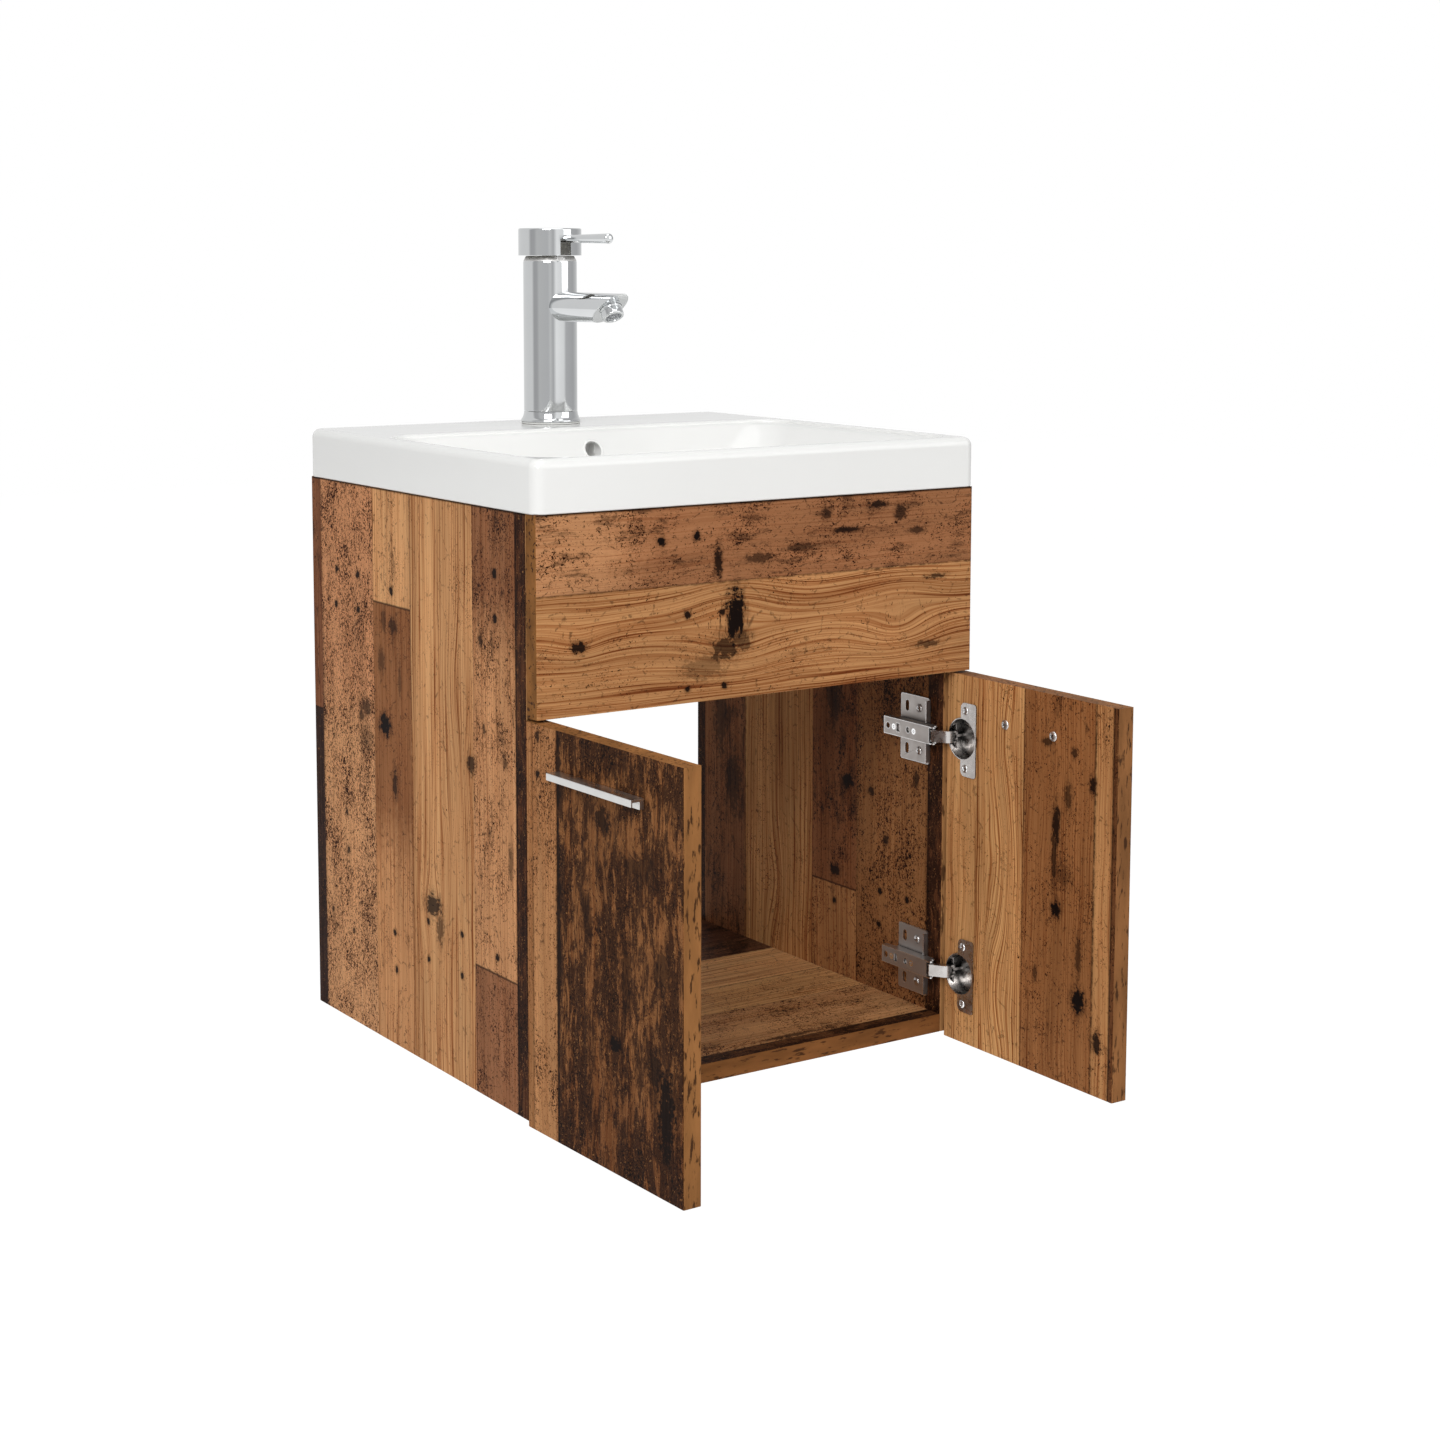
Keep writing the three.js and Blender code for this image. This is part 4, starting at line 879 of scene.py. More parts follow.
@dataclass(frozen=True)
class Metal:
    """A metal surface: its colour, gloss and the fine unevenness of how it was made, with painted
    shade in its creases and painted highlights on its edges where asked for.
    """

    name: str
    colour: str
    roughness: float
    uneven: float = 0.04  # how much the gloss drifts
    drift_mm: float = 14.0
    stretch: tuple[float, float, float] = (1.0, 1.0, 1.0)
    line_mm: float = 0.0  # width of brushed or drawn lines, none at 0
    relief: float = 0.0
    anisotropic: float = 0.0
    painted_shade_mm: float = 0.0  # how far the painted shade reaches from nearby surfaces into creases and hollows, mm; none at 0
    painted_highlight_mm: float = 0.0  # how far in from a convex edge the painted highlight reaches, mm; none at 0
    edge_gloss: float = 0.15  # roughness of that edge

    def open_share(self, g: Graph, reach: float, low: float, inside: bool) -> Any:
        """How free a place is of surfaces near it, from 0 to 1.

        Args:
            g: the material's graph.
            reach: how far it looks, mm.
            low: what counts as not free at all.
            inside: look into the metal, which finds the edges.

        Returns:
            The share.
        """
        free = g.add("AmbientOcclusion", {"Distance": reach * MM}, out="AO", samples=6,
                     inside=inside)
        return g.add("MapRange", free, low, 0.90)

    def build(self) -> Material:
        """Build the material.

        Returns:
            The finished material.
        """
        material, g = new_material(self.name)
        at = g.add("TexCoord", out="Object")
        drift = g.add("TexNoise", {"Vector": at, "Scale": METRE / self.drift_mm, "Detail": 3.0})
        low, high = self.roughness - self.uneven, self.roughness + self.uneven
        gloss = g.add("MapRange", drift, 0.3, 0.7, max(low, 0.02), high)
        base = linear(self.colour)
        colour = g.add("MixRGB", drift, base, dimmed(base, 0.93))
        # Painted shade: the colour goes dark where other surfaces are near, as in creases and
        # hollows.
        if self.painted_shade_mm > 0:
            clear = self.open_share(g, self.painted_shade_mm, 0.40, False)
            colour = g.add("MixRGB", clear, dimmed(base, 0.14), colour)
        # Painted highlight: the colour goes toward white along convex edges, which are also made
        # glossier.
        if self.painted_highlight_mm > 0:
            whole = self.open_share(g, self.painted_highlight_mm, 0.50, True)
            colour = g.add("MixRGB", whole, linear("#ffffff"), colour)
            gloss = g.add("MapRange", whole, 0.0, 1.0, self.edge_gloss, gloss)
        inputs = {"Base Color": colour, "Metallic": 1.0, "Roughness": gloss,
                  "Anisotropic": self.anisotropic}
        if self.relief > 0:
            fineness = METRE / (self.line_mm or 0.8)
            drawn = g.add("VectorMath.MULTIPLY", at, self.stretch)
            lines = g.add("TexNoise", {"Vector": drawn, "Scale": fineness, "Detail": 2.0})
            inputs["Normal"] = g.add(
                "Bump", {"Strength": self.relief, "Distance": 0.00006, "Height": lines}
            )
        shader = g.add("BsdfPrincipled", inputs)
        g.add("OutputMaterial", shader)
        return material


@dataclass(frozen=True)
class Glossless:
    """Glaze, rubber or moulded plastic: a colour with a fine, even surface."""

    name: str
    colour: str
    roughness: float
    ior: float = 1.5
    coat: float = 0.0
    grain_mm: float = 1.2
    relief: float = 0.05
    shade: float = 0.97

    def build(self) -> Material:
        """Build the material.

        Returns:
            The finished material.
        """
        material, g = new_material(self.name)
        at = g.add("TexCoord", out="Object")
        slow = g.add("TexNoise", {"Vector": at, "Scale": 22.0, "Detail": 2.0})
        base = linear(self.colour)
        colour = g.add("MixRGB", slow, base, dimmed(base, self.shade))
        grain = g.add("TexNoise", {"Vector": at, "Scale": METRE / self.grain_mm, "Detail": 2.0})
        bump = g.add("Bump", {"Strength": self.relief, "Distance": 0.0001, "Height": grain})
        gloss = g.add("MapRange", slow, 0.3, 0.7, self.roughness * 0.85, self.roughness * 1.15)
        shader = g.add(
            "BsdfPrincipled", {"Base Color": colour, "Roughness": gloss,
            "IOR": self.ior, "Normal": bump, "Coat Weight": self.coat, "Coat Roughness": 0.03},
        )
        g.add("OutputMaterial", shader)
        return material


class Finishes:
    """All finishes, built once."""

    def __init__(self) -> None:
        """Build the plain finishes; each board builds its own print."""
        # Fired ceramic with a white glaze: even, wet-looking, with barely wavy highlights.
        self.ceramic = Glossless(
            "glazed_ceramic", "#f1f1ef", 0.09, ior=1.52, grain_mm=9.0, relief=0.03, shade=0.985
        ).build()
        # Plated brass: a mirror that takes its greys from the room.
        self.chrome = Metal("chrome_plated_brass", "#dcdedf", 0.045, 0.015, 30.0).build()
        # The same where no hand or polishing wheel reaches: a soft grey.
        self.matt_chrome = Metal("matt_plated_brass", "#dcdbd9", 0.50, 0.06, 9.0).build()
        # Nickel-plated pressed steel: bright, with soft drawing marks, painted shade in its creases
        # and painted highlights on its edges.
        self.nickel = Metal(
            "nickel_plated_steel", "#bdb7b3", 0.42, 0.05, 7.0, line_mm=0.7, relief=0.08,
            painted_shade_mm=2.6, painted_highlight_mm=0.8,
        ).build()
        # The same on the moving links and cups, tumbled and so softer, with painted shade in their
        # hollows.
        self.tumbled = Metal(
            "nickel_plated_tumbled_steel", "#d3cfcc", 0.28, 0.05, 5.0, line_mm=0.5, relief=0.08,
            painted_shade_mm=8.0,
        ).build()
        # Anodised extruded aluminium: satin, with die lines along its length.
        self.aluminium = Metal(
            "anodised_aluminium", "#d9d8d6", 0.30, 0.04, 12.0, (1.0, 0.02, 1.0), 0.5, 0.18, 0.3
        ).build()
        # Galvanised steel: greyer, with a dull crystalline bloom.
        self.zinc = Metal("galvanised_steel", "#a9abab", 0.42, 0.10, 5.0, relief=0.2).build()
        # Nitrile rubber: almost black and dull.
        self.rubber = Glossless("nitrile_rubber", "#28282b", 0.75, relief=0.2).build()
        # Silicone: milky, and pale beside the glaze.
        self.silicone = Glossless("milky_silicone", "#dededb", 0.40).build()
        # Moulded polypropylene: soft sheen with a fine spark-eroded grain.
        self.grey_plastic = Glossless(
            "grey_polypropylene", "#c3c6ca", 0.42, ior=1.49, grain_mm=0.8, relief=0.15
        ).build()
        self.white_plastic = Glossless(
            "white_acetal", "#ebeae5", 0.36, ior=1.48, grain_mm=0.8, relief=0.12
        ).build()


# Screws and other things that repeat, by Geometry Nodes


@dataclass(frozen=True)
class ScrewKind:
    """Sizes of one kind of screw head, in mm."""

    head_radius: float
    head_height: float
    recess: float
    shank_radius: float = 1.6
    shank_length: float = 4.0


PLATE_SCREW = ScrewKind(3.5, 1.7, 1.75)
EAR_SCREW = ScrewKind(3.3, 1.2, 1.65)
ARM_SCREW = ScrewKind(2.45, 0.9, 1.5, 1.5, 3.0)
HANDLE_SCREW = ScrewKind(4.2, 1.9, 2.1, 2.0, 14.5)
BRACKET_SCREW = ScrewKind(4.6, 2.2, 2.2, 1.9, 5.0)


class ScrewTree:
    """A Geometry Nodes tree that puts a screw with a cross recess on each point."""

    slot_share = 0.42  # width of a slot as a share of the recess's radius
    cut_share = 1.1  # height of the block that cuts it, as a share of the head's

    def __init__(self) -> None:
        """Build the tree with named inputs for its sizes."""
        self.group = bpy.data.node_groups.new("crosshead screws", "GeometryNodeTree")
        face = self.group.interface
        face.new_socket("Places", in_out="INPUT", socket_type="NodeSocketGeometry")
        for name in ("Head Radius", "Head Height", "Recess", "Shank Radius", "Shank Length"):
            face.new_socket(name, in_out="INPUT", socket_type="NodeSocketFloat")
        face.new_socket("Seed", in_out="INPUT", socket_type="NodeSocketInt")
        face.new_socket("Finish", in_out="INPUT", socket_type="NodeSocketMaterial")
        face.new_socket("Screws", in_out="OUTPUT", socket_type="NodeSocketGeometry")
        self.fill(Graph(self.group))

    def fill(self, g: Graph) -> None:
        """Add the nodes.

        Args:
            g: the tree.
        """
        given = g.add("NodeGroupInput", out=None).outputs
        radius, height, long = (
            given[name] for name in ("Head Radius", "Head Height", "Shank Length")
        )
        ball = g.add("GeometryNodeMeshUVSphere", {"Segments": 32, "Rings": 16, "Radius": 1.0})
        dome_size = g.add("CombineXYZ", radius, radius, height)
        head = g.add("GeometryNodeTransform", {"Geometry": ball, "Scale": dome_size})
        wide = g.add("Math.MULTIPLY", radius, 4.0)
        arm = g.add("Math.MULTIPLY", given["Recess"], 2.0)
        thin = g.add("Math.MULTIPLY", given["Recess"], self.slot_share)
        deep = g.add("Math.MULTIPLY", height, self.cut_share)
        below = g.add("CombineXYZ", 0.0, 0.0, g.add("Math.MULTIPLY", radius, -2.0))
        up = g.add("CombineXYZ", 0.0, 0.0, height)
        for size, place in (((wide, wide, wide), below), ((arm, thin, deep), up),
                            ((thin, arm, deep), up)):
            block = g.add("GeometryNodeMeshCube", {"Size": g.add("CombineXYZ", *size)})
            tool = g.add("GeometryNodeTransform", {"Geometry": block, "Translation": place})
            head = g.add("GeometryNodeMeshBoolean", {0: head, 1: tool}, operation="DIFFERENCE")
        bar = g.add(
            "GeometryNodeMeshCylinder",
            {"Vertices": 16, "Radius": given["Shank Radius"], "Depth": long},
        )
        middle = g.add("CombineXYZ", 0.0, 0.0, g.add("Math.MULTIPLY", long, -0.5))
        shank = g.add("GeometryNodeTransform", {"Geometry": bar, "Translation": middle})
        whole = g.add("GeometryNodeJoinGeometry", {0: head}, {0: shank})
        aim = g.add("GeometryNodeInputNamedAttribute", {"Name": "aim"}, data_type="FLOAT_VECTOR")
        facing = g.add(
            "FunctionNodeAlignRotationToVector", {"Vector": aim}, axis="Z", out="Rotation"
        )
        chance = g.add(
            "FunctionNodeRandomValue",
            {"Min": 0.0, "Max": math.pi / 2, "Seed": given["Seed"]},
            data_type="FLOAT", out=1,
        )
        turn = g.add("FunctionNodeAxisAngleToRotation", {"Axis": (0.0, 0.0, 1.0), "Angle": chance})
        turned_in = g.add(
            "FunctionNodeRotateRotation", {"Rotation": facing, "Rotate By": turn},
            rotation_space="LOCAL",
        )
        set_out = g.add(
            "GeometryNodeInstanceOnPoints",
            {"Points": given["Places"], "Instance": whole, "Rotation": turned_in},
        )
        real = g.add("GeometryNodeRealizeInstances", set_out)
        finished = g.add(
            "GeometryNodeSetMaterial", {"Geometry": real, "Material": given["Finish"]}
        )
        g.add("NodeGroupOutput", finished)

    def screws(
        self,
        kind: ScrewKind,
        places: Sequence[Seat],
        finish: Material,
        seed: int,
    ) -> Mesh:
        """Make the screws of one kind.

        Args:
            kind: their sizes.
            places: seat of each head in mm, and the way that it faces.
            finish: their material.
            seed: for how far each is turned.

        Returns:
            One mesh with all of them.
        """
        mesh = bpy.data.meshes.new("screw places")
        mesh.from_pydata([tuple(c * MM for c in at) for at, _ in places], [], [])
        aim = mesh.attributes.new("aim", "FLOAT_VECTOR", "POINT")
        aim.data.foreach_set("vector", [c for _, way in places for c in way])
        thing = bpy.data.objects.new("screw places", mesh)
        bpy.context.scene.collection.objects.link(thing)
        nodes = thing.modifiers.new("screws", "NODES")
        nodes.node_group = self.group
        wanted = {
            "Head Radius": kind.head_radius * MM, "Head Height": kind.head_height * MM,
            "Recess": kind.recess * MM, "Shank Radius": kind.shank_radius * MM,
            "Shank Length": kind.shank_length * MM, "Seed": seed, "Finish": finish,
        }
        for item in self.group.interface.items_tree:
            if item.in_out == "INPUT" and item.name in wanted:
                nodes[item.identifier] = wanted[item.name]
        graph = bpy.context.evaluated_depsgraph_get()
        made = bpy.data.meshes.new_from_object(thing.evaluated_get(graph))
        thing.modifiers.remove(nodes)
        bpy.data.objects.remove(thing)
        for name in [a.name for a in made.attributes if a.name == "aim"]:
            made.attributes.remove(made.attributes[name])
        return made


# The prints of the boards

SIDE_PLANKS = (
    Plank(-366, "#56341f", speckle=0.5, grain=0.6, stain=1.0),
    Plank(-350, "#8e5f40", (Turn(-40, "#c48f63", False), Turn(-307, "#996848")),
          speckle=0.66, grain=0.35, stain=0.45, joint=0.9),
    Plank(-284.5, "#ca9868", speckle=0.0, grain=0.75, stain=0.02, joint=0.35),
    Plank(-180.4, "#d6a270", (Turn(-43.6, "#94633f"), Turn(-235, "#c59062", False)),
          speckle=0.22, grain=0.5, stain=0.28, joint=0.45),
    Plank(-114.7, "#cc9166", (Turn(-135, "#d39c6e", False),), speckle=1.0, grain=0.25,
          stain=0.16, joint=0.3),
    Plank(-17.9, "#84553a", (Turn(-148, "#33201a"),), speckle=0.4, grain=0.5, stain=0.7,
          joint=0.6),
)

SIDE_MARKS = (
    Mark(-47.1, -24.6, 3.0, 3.0), Mark(-86.3, -24.9, 3.1, 3.1), Mark(-45.2, -54.5, 2.8, 2.8),
    Mark(-86.3, -54.2, 2.8, 2.8), Mark(-147.4, -31.3, 2.9, 3.3), Mark(-318.3, 1.2, 3.2, 3.2),
    Mark(-318.3, -33.2, 3.2, 3.2), Mark(-146.5, -313.6, 2.5, 2.5), Mark(-149.1, -344.4, 2.5, 3),
    Mark(-205.8, -290.6, 2.4, 2.4), Mark(-205.8, -321.7, 2.5, 2.5), Mark(-261.7, -288.7, 2.4, 2.4),
    Mark(-261.7, -321.5, 2.4, 2.4), Mark(-318.3, -293.0, 2.6, 2.6),
    Mark(-133.3, -143.5, 8.5, 8, 1.0), Mark(-128, -92, 5, 9, 0.5), Mark(-150, -60, 7, 5, 0.65),
    Mark(-133, -57, 4, 8, 0.5), Mark(-160, -104, 3, 11, 0.4), Mark(-150, -190, 4, 10, 0.75),
    Mark(-279.3, -149.5, 5, 7, 0.8), Mark(-98.7, -134, 9, 6, 0.7), Mark(-90, -141, 4, 5, 0.7),
    Mark(-100, -160, 10, 9, 0.35), Mark(-214.2, -276.7, 11, 8, 0.85),
    Mark(-226, -292, 5, 12, 0.55), Mark(-296, -52, 3, 5, 0.8), Mark(-332, -140, 3, 4, 0.6),
    Mark(-340, -215, 3, 14, 0.5), Mark(-60, -230, 2.2, 3, 0.8), Mark(-62, -262, 2.2, 3, 0.8),
    Mark(-30, -320, 2.2, 2.6, 0.8), Mark(-70, -330, 2.0, 2.6, 0.8), Mark(-300, -120, 2, 4, 0.7),
)

SIDE_SWIRLS = (
    Swirl(-252, -95, 13, 46, lift=-9), Swirl(-279, -150, 10, 22, 0.8),
    Swirl(-214, -277, 16, 26, 0.8), Swirl(-240, -230, 14, 40, lift=7),
)

APRON_MARKS = (
    Mark(-28.6, -38, 7, 19, 1.0), Mark(-38, -62, 11, 8, 0.75), Mark(-24, -56, 9, 8, 0.6),
    Mark(-96.1, 24.0, 3.6, 3.4, 1.0), Mark(-64.3, 26.3, 2.8, 3.4, 1.0),
    Mark(-72.6, -33.2, 2.6, 2.6), Mark(-40.9, -33.7, 2.4, 2.8), Mark(-169.3, -49.7, 6, 3.6),
    Mark(-72.6, -90.3, 2.4, 2.4), Mark(-39.0, -90.6, 2.4, 2.4),
    Mark(107.5, 40.7, 9, 2.8, 0.9), Mark(77.4, 22.6, 11, 2.0, 0.85),
    Mark(-44.6, 5.5, 3.0, 11, 0.9), Mark(-6.7, 5.7, 12, 3.4, 0.65), Mark(32, 11.5, 12, 2.6, 0.6),
    Mark(159.8, -75.4, 11, 2.6, 0.6), Mark(168.2, -20.5, 9, 1.8, 0.7), Mark(-58, -76, 17, 8, 0.35),
    Mark(131, 33, 5, 6, 0.75), Mark(58, 36, 4, 5, 0.7), Mark(148, 18, 7, 2.4, 0.7),
)

APRON_SWIRLS = (
    Swirl(-44, -28.6, 30, 46, 0.85), Swirl(-64, 130, 20, 40, lift=13),
    Swirl(-30, 128, 16, 46, lift=-8), Swirl(-50, -169, 16, 24, lift=6),
)


def swap(marks: tuple[Mark, ...]) -> tuple[Mark, ...]:
    """Marks that were read across x and up z, for a grain that runs along x."""
    return tuple(Mark(m.along, m.across, m.half_along, m.half_across, m.strength) for m in marks)


RIGHT_PLANKS = (
    Plank(-366, "#5e3a24", speckle=0.5, grain=0.5, stain=1.0),
    Plank(-346, "#9a6a42", speckle=0.85, grain=0.3, stain=0.35, joint=0.9),
    Plank(-250, "#875838", (Turn(-313, "#b07d50"),), speckle=0.5, grain=0.5,
          stain=0.5),
    Plank(-184.8, "#c3925f", speckle=0.1, grain=0.75, stain=0.08, joint=0.4),
    Plank(-79.9, "#8c5e3e", speckle=0.5, grain=0.5, stain=0.6, joint=0.8),
    Plank(-13, "#4a2d1e", speckle=0.5, grain=0.5, stain=0.9),
)

RIGHT_MARKS = (
    Mark(-235.9, -217.6, 7, 6, 0.95), Mark(-268.5, -221, 4, 3.4, 0.8),
    Mark(-218.6, -300.2, 6, 5, 0.9), Mark(-282.5, -306.1, 2.6, 2.6),
    Mark(-319.5, -305.5, 2.6, 2.6), Mark(-281.1, -335.4, 2.6, 2.6),
    Mark(-217.1, -328.4, 2.6, 2.6), Mark(-60, -250, 11, 26, 0.6),
    Mark(-40, -190, 9, 32, 0.55), Mark(-215, -150, 9, 22, 0.6),
    Mark(-290, -260, 3.4, 4.0, 0.8), Mark(-330, -200, 3, 6, 0.7),
)

BOARDS = {
    "side_panel_left": PlankLaminate(
        "reclaimed_pine_print_left", "y", "z", "-x", SIDE_PLANKS, (-366.0, 0.0), SIDE_MARKS,
        SIDE_SWIRLS, band="#a77c50", seed=2.0, painted_shadow_height=50.0,
    ),
    "side_panel_right": PlankLaminate(
        "reclaimed_pine_print_right", "y", "z", "-x", RIGHT_PLANKS, (-366.0, 0.0), RIGHT_MARKS,
        (Swirl(-130, -330, 14, 40, lift=9),), band="#a9794c", seed=5.0,
    ),
    "front_apron": PlankLaminate(
        "reclaimed_pine_print_apron", "z", "x", "-y",
        (
            Plank(-101, "#b98758", speckle=0.12, grain=0.85, stain=0.12),
            Plank(-10.3, "#9c6a47", (Turn(-128, "#bc885e", False),), speckle=0.5,
                  grain=0.3, stain=0.52, joint=0.6),
        ),
        (-101.0, 50.0), swap(APRON_MARKS), APRON_SWIRLS, band="#84582f", dashes=0.9, seed=3.0,
        wave=4.5, fine=0.92, painted_shadow_height=50.0,
    ),
    "bottom_panel": PlankLaminate(
        "reclaimed_pine_print_bottom", "y", "x", "+z",
        (
            Plank(-366, "#5e3c24", speckle=0.6, grain=0.4, stain=0.9),
            Plank(-349, "#c49263", speckle=0.7, grain=0.4, stain=0.35, joint=0.8),
            Plank(-262, "#d5a46e", speckle=0.5, grain=0.5, stain=0.3),
            Plank(-200, "#e0b07a", speckle=0.1, grain=0.7, stain=0.1),
            Plank(-125, "#6c4a34", speckle=0.6, grain=0.5, stain=0.8, joint=0.7),
            Plank(-85, "#5a3826", speckle=0.5, grain=0.5, stain=0.8),
        ),
        (-366.0, 0.0), (Mark(-343.3, 51.3, 3, 26, 0.7), Mark(-356, -60, 3, 20, 0.7)),
        (Swirl(-235, -40, 16, 50, lift=9),), band="#85562f", seed=7.0,
    ),
    "rear_rail": PlankLaminate(
        "reclaimed_pine_print_rail", "z", "x", "-y",
        (
            Plank(-51, "#8d5f3c", speckle=0.5, grain=0.5, stain=0.5),
            Plank(5, "#b07f4c", speckle=0.1, grain=0.7, stain=0.15),
        ),
        (-51.0, 50.0), band="#8a5a35", seed=9.0,
    ),
    "door_left": PlankLaminate(
        "reclaimed_pine_print_left_door", "y", "z", "-x",
        (
            Plank(-571, "#8a5c37", (Turn(-345, "#7a4e2e", False),), speckle=0.55, grain=0.35,
                  stain=1.0),
            Plank(-410.8, "#b27e52", (Turn(-190, "#ba8659", False),), speckle=0.6, grain=0.3,
                  stain=0.22, joint=1.0),
            Plank(-376.5, "#a5744a", speckle=0.4, grain=0.5, stain=0.2, joint=0.6),
        ),
        (-571.0, -366.0),
        (Mark(-488, -316.7, 7, 6, 1.0), Mark(-383.4, -139.7, 2.6, 2.6),
         Mark(-550, -350, 9, 30, 0.95), Mark(-535, -322, 8, 16, 0.8),
         Mark(-470, -158, 9, 8, 0.8), Mark(-520, -185, 20, 11, 0.6), Mark(-412, -255, 3, 60, 0.8),
         Mark(-412, -130, 3, 26, 0.8), Mark(-450, -230, 7, 16, 0.5), Mark(-500, -262, 6, 26, 0.6),
         Mark(-545, -250, 9, 14, 0.6), Mark(-384, -112, 2.4, 4, 0.8)),
        (Swirl(-470, -250, 12, 40, lift=6),),
        band="#8f6138", dashes=0.85, seed=4.0, wave=9.0, ragged=3.4,
    ),
    "door_right": PlankLaminate(
        "reclaimed_pine_print_right_door", "y", "z", "-x",
        (
            Plank(-571, "#6d4529", speckle=0.5, grain=0.5, stain=0.7),
            Plank(-565.4, "#b98656", speckle=0.25, grain=0.5, stain=0.15, joint=0.8),
            Plank(-545.7, "#9a673e", speckle=0.4, grain=0.55, stain=0.35, joint=0.8),
            Plank(-463.6, "#d09d67", speckle=0.02, grain=0.9, stain=0.04, joint=0.55),
            Plank(-406, "#cf9b65", speckle=0.0, grain=0.55, stain=0.0, joint=0.3),
        ),
        (-571.0, -366.0),
        (Mark(-542.9, -166.9, 3.4, 7, 0.9), Mark(-502.4, -205.9, 3.8, 15, 0.9),
         Mark(-500, -228, 2.6, 24, 0.7), Mark(-503.5, -272.4, 5, 6, 1.0),
         Mark(-530.3, -340.1, 7, 9, 1.0), Mark(-552, -368.0, 4, 7, 0.9),
         Mark(-490.5, -141.3, 5, 3, 0.7), Mark(-515, -180, 4, 9, 0.6), Mark(-530, -305, 3, 14, 0.6),
         Mark(-480, -330, 2.4, 6, 0.6), Mark(-522, -145, 3, 4, 0.7), Mark(-510, -245, 7, 8, 0.35)),
        (Swirl(-435, -250, 12, 60, lift=8), Swirl(-430, -350, 14, 40, lift=-8),
         Swirl(-440, -150, 10, 40, lift=-6)),
        band="#8d5f39", dashes=0.8, seed=6.0, wave=9.0,
    ),
}


# The cabinet


@dataclass
class Carcass:
    """Side panels, bottom, apron and rear rail in plank laminate, and two brackets."""

    finishes: Finishes
    screws: ScrewTree
    inner: float = 190.0
    bracket_leg: float = 38.0
    bracket_height: float = 46.0
    bracket_top: float = 36.0
    board: float = 15.0
    seam: float = 0.3
    metal: float = 2.5

    def build(self) -> None:
        """Dress the boards and soften the bent brackets."""
        for node, laminate in BOARDS.items():
            if not node.startswith("door"):
                dress(laminate.build(), node)
        for side in ("left", "right"):
            softened(f"wall_bracket_{side}", "bent", self.finishes.zinc, "cabinet",
                     Edge(0.5, 3))

    def screw_places(self) -> list[Seat]:
        """Heads of the bracket screws: two in each side panel and one in the rail."""
        found: list[Seat] = []
        middle = self.bracket_top - self.bracket_height / 2
        face = self.inner - self.seam - self.metal
        rear = -self.board - self.seam
        for sign in (-1.0, 1.0):
            for step in (-1, 1):
                z = middle + step * self.bracket_height / 4
                found.append(((sign * face, rear - self.bracket_leg / 2, z), (-sign, 0.0, 0.0)))
            x = sign * (self.inner - self.seam - self.bracket_leg / 2)
            found.append(((x, rear - self.metal, middle), (0.0, -1.0, 0.0)))
        return found


# The basin


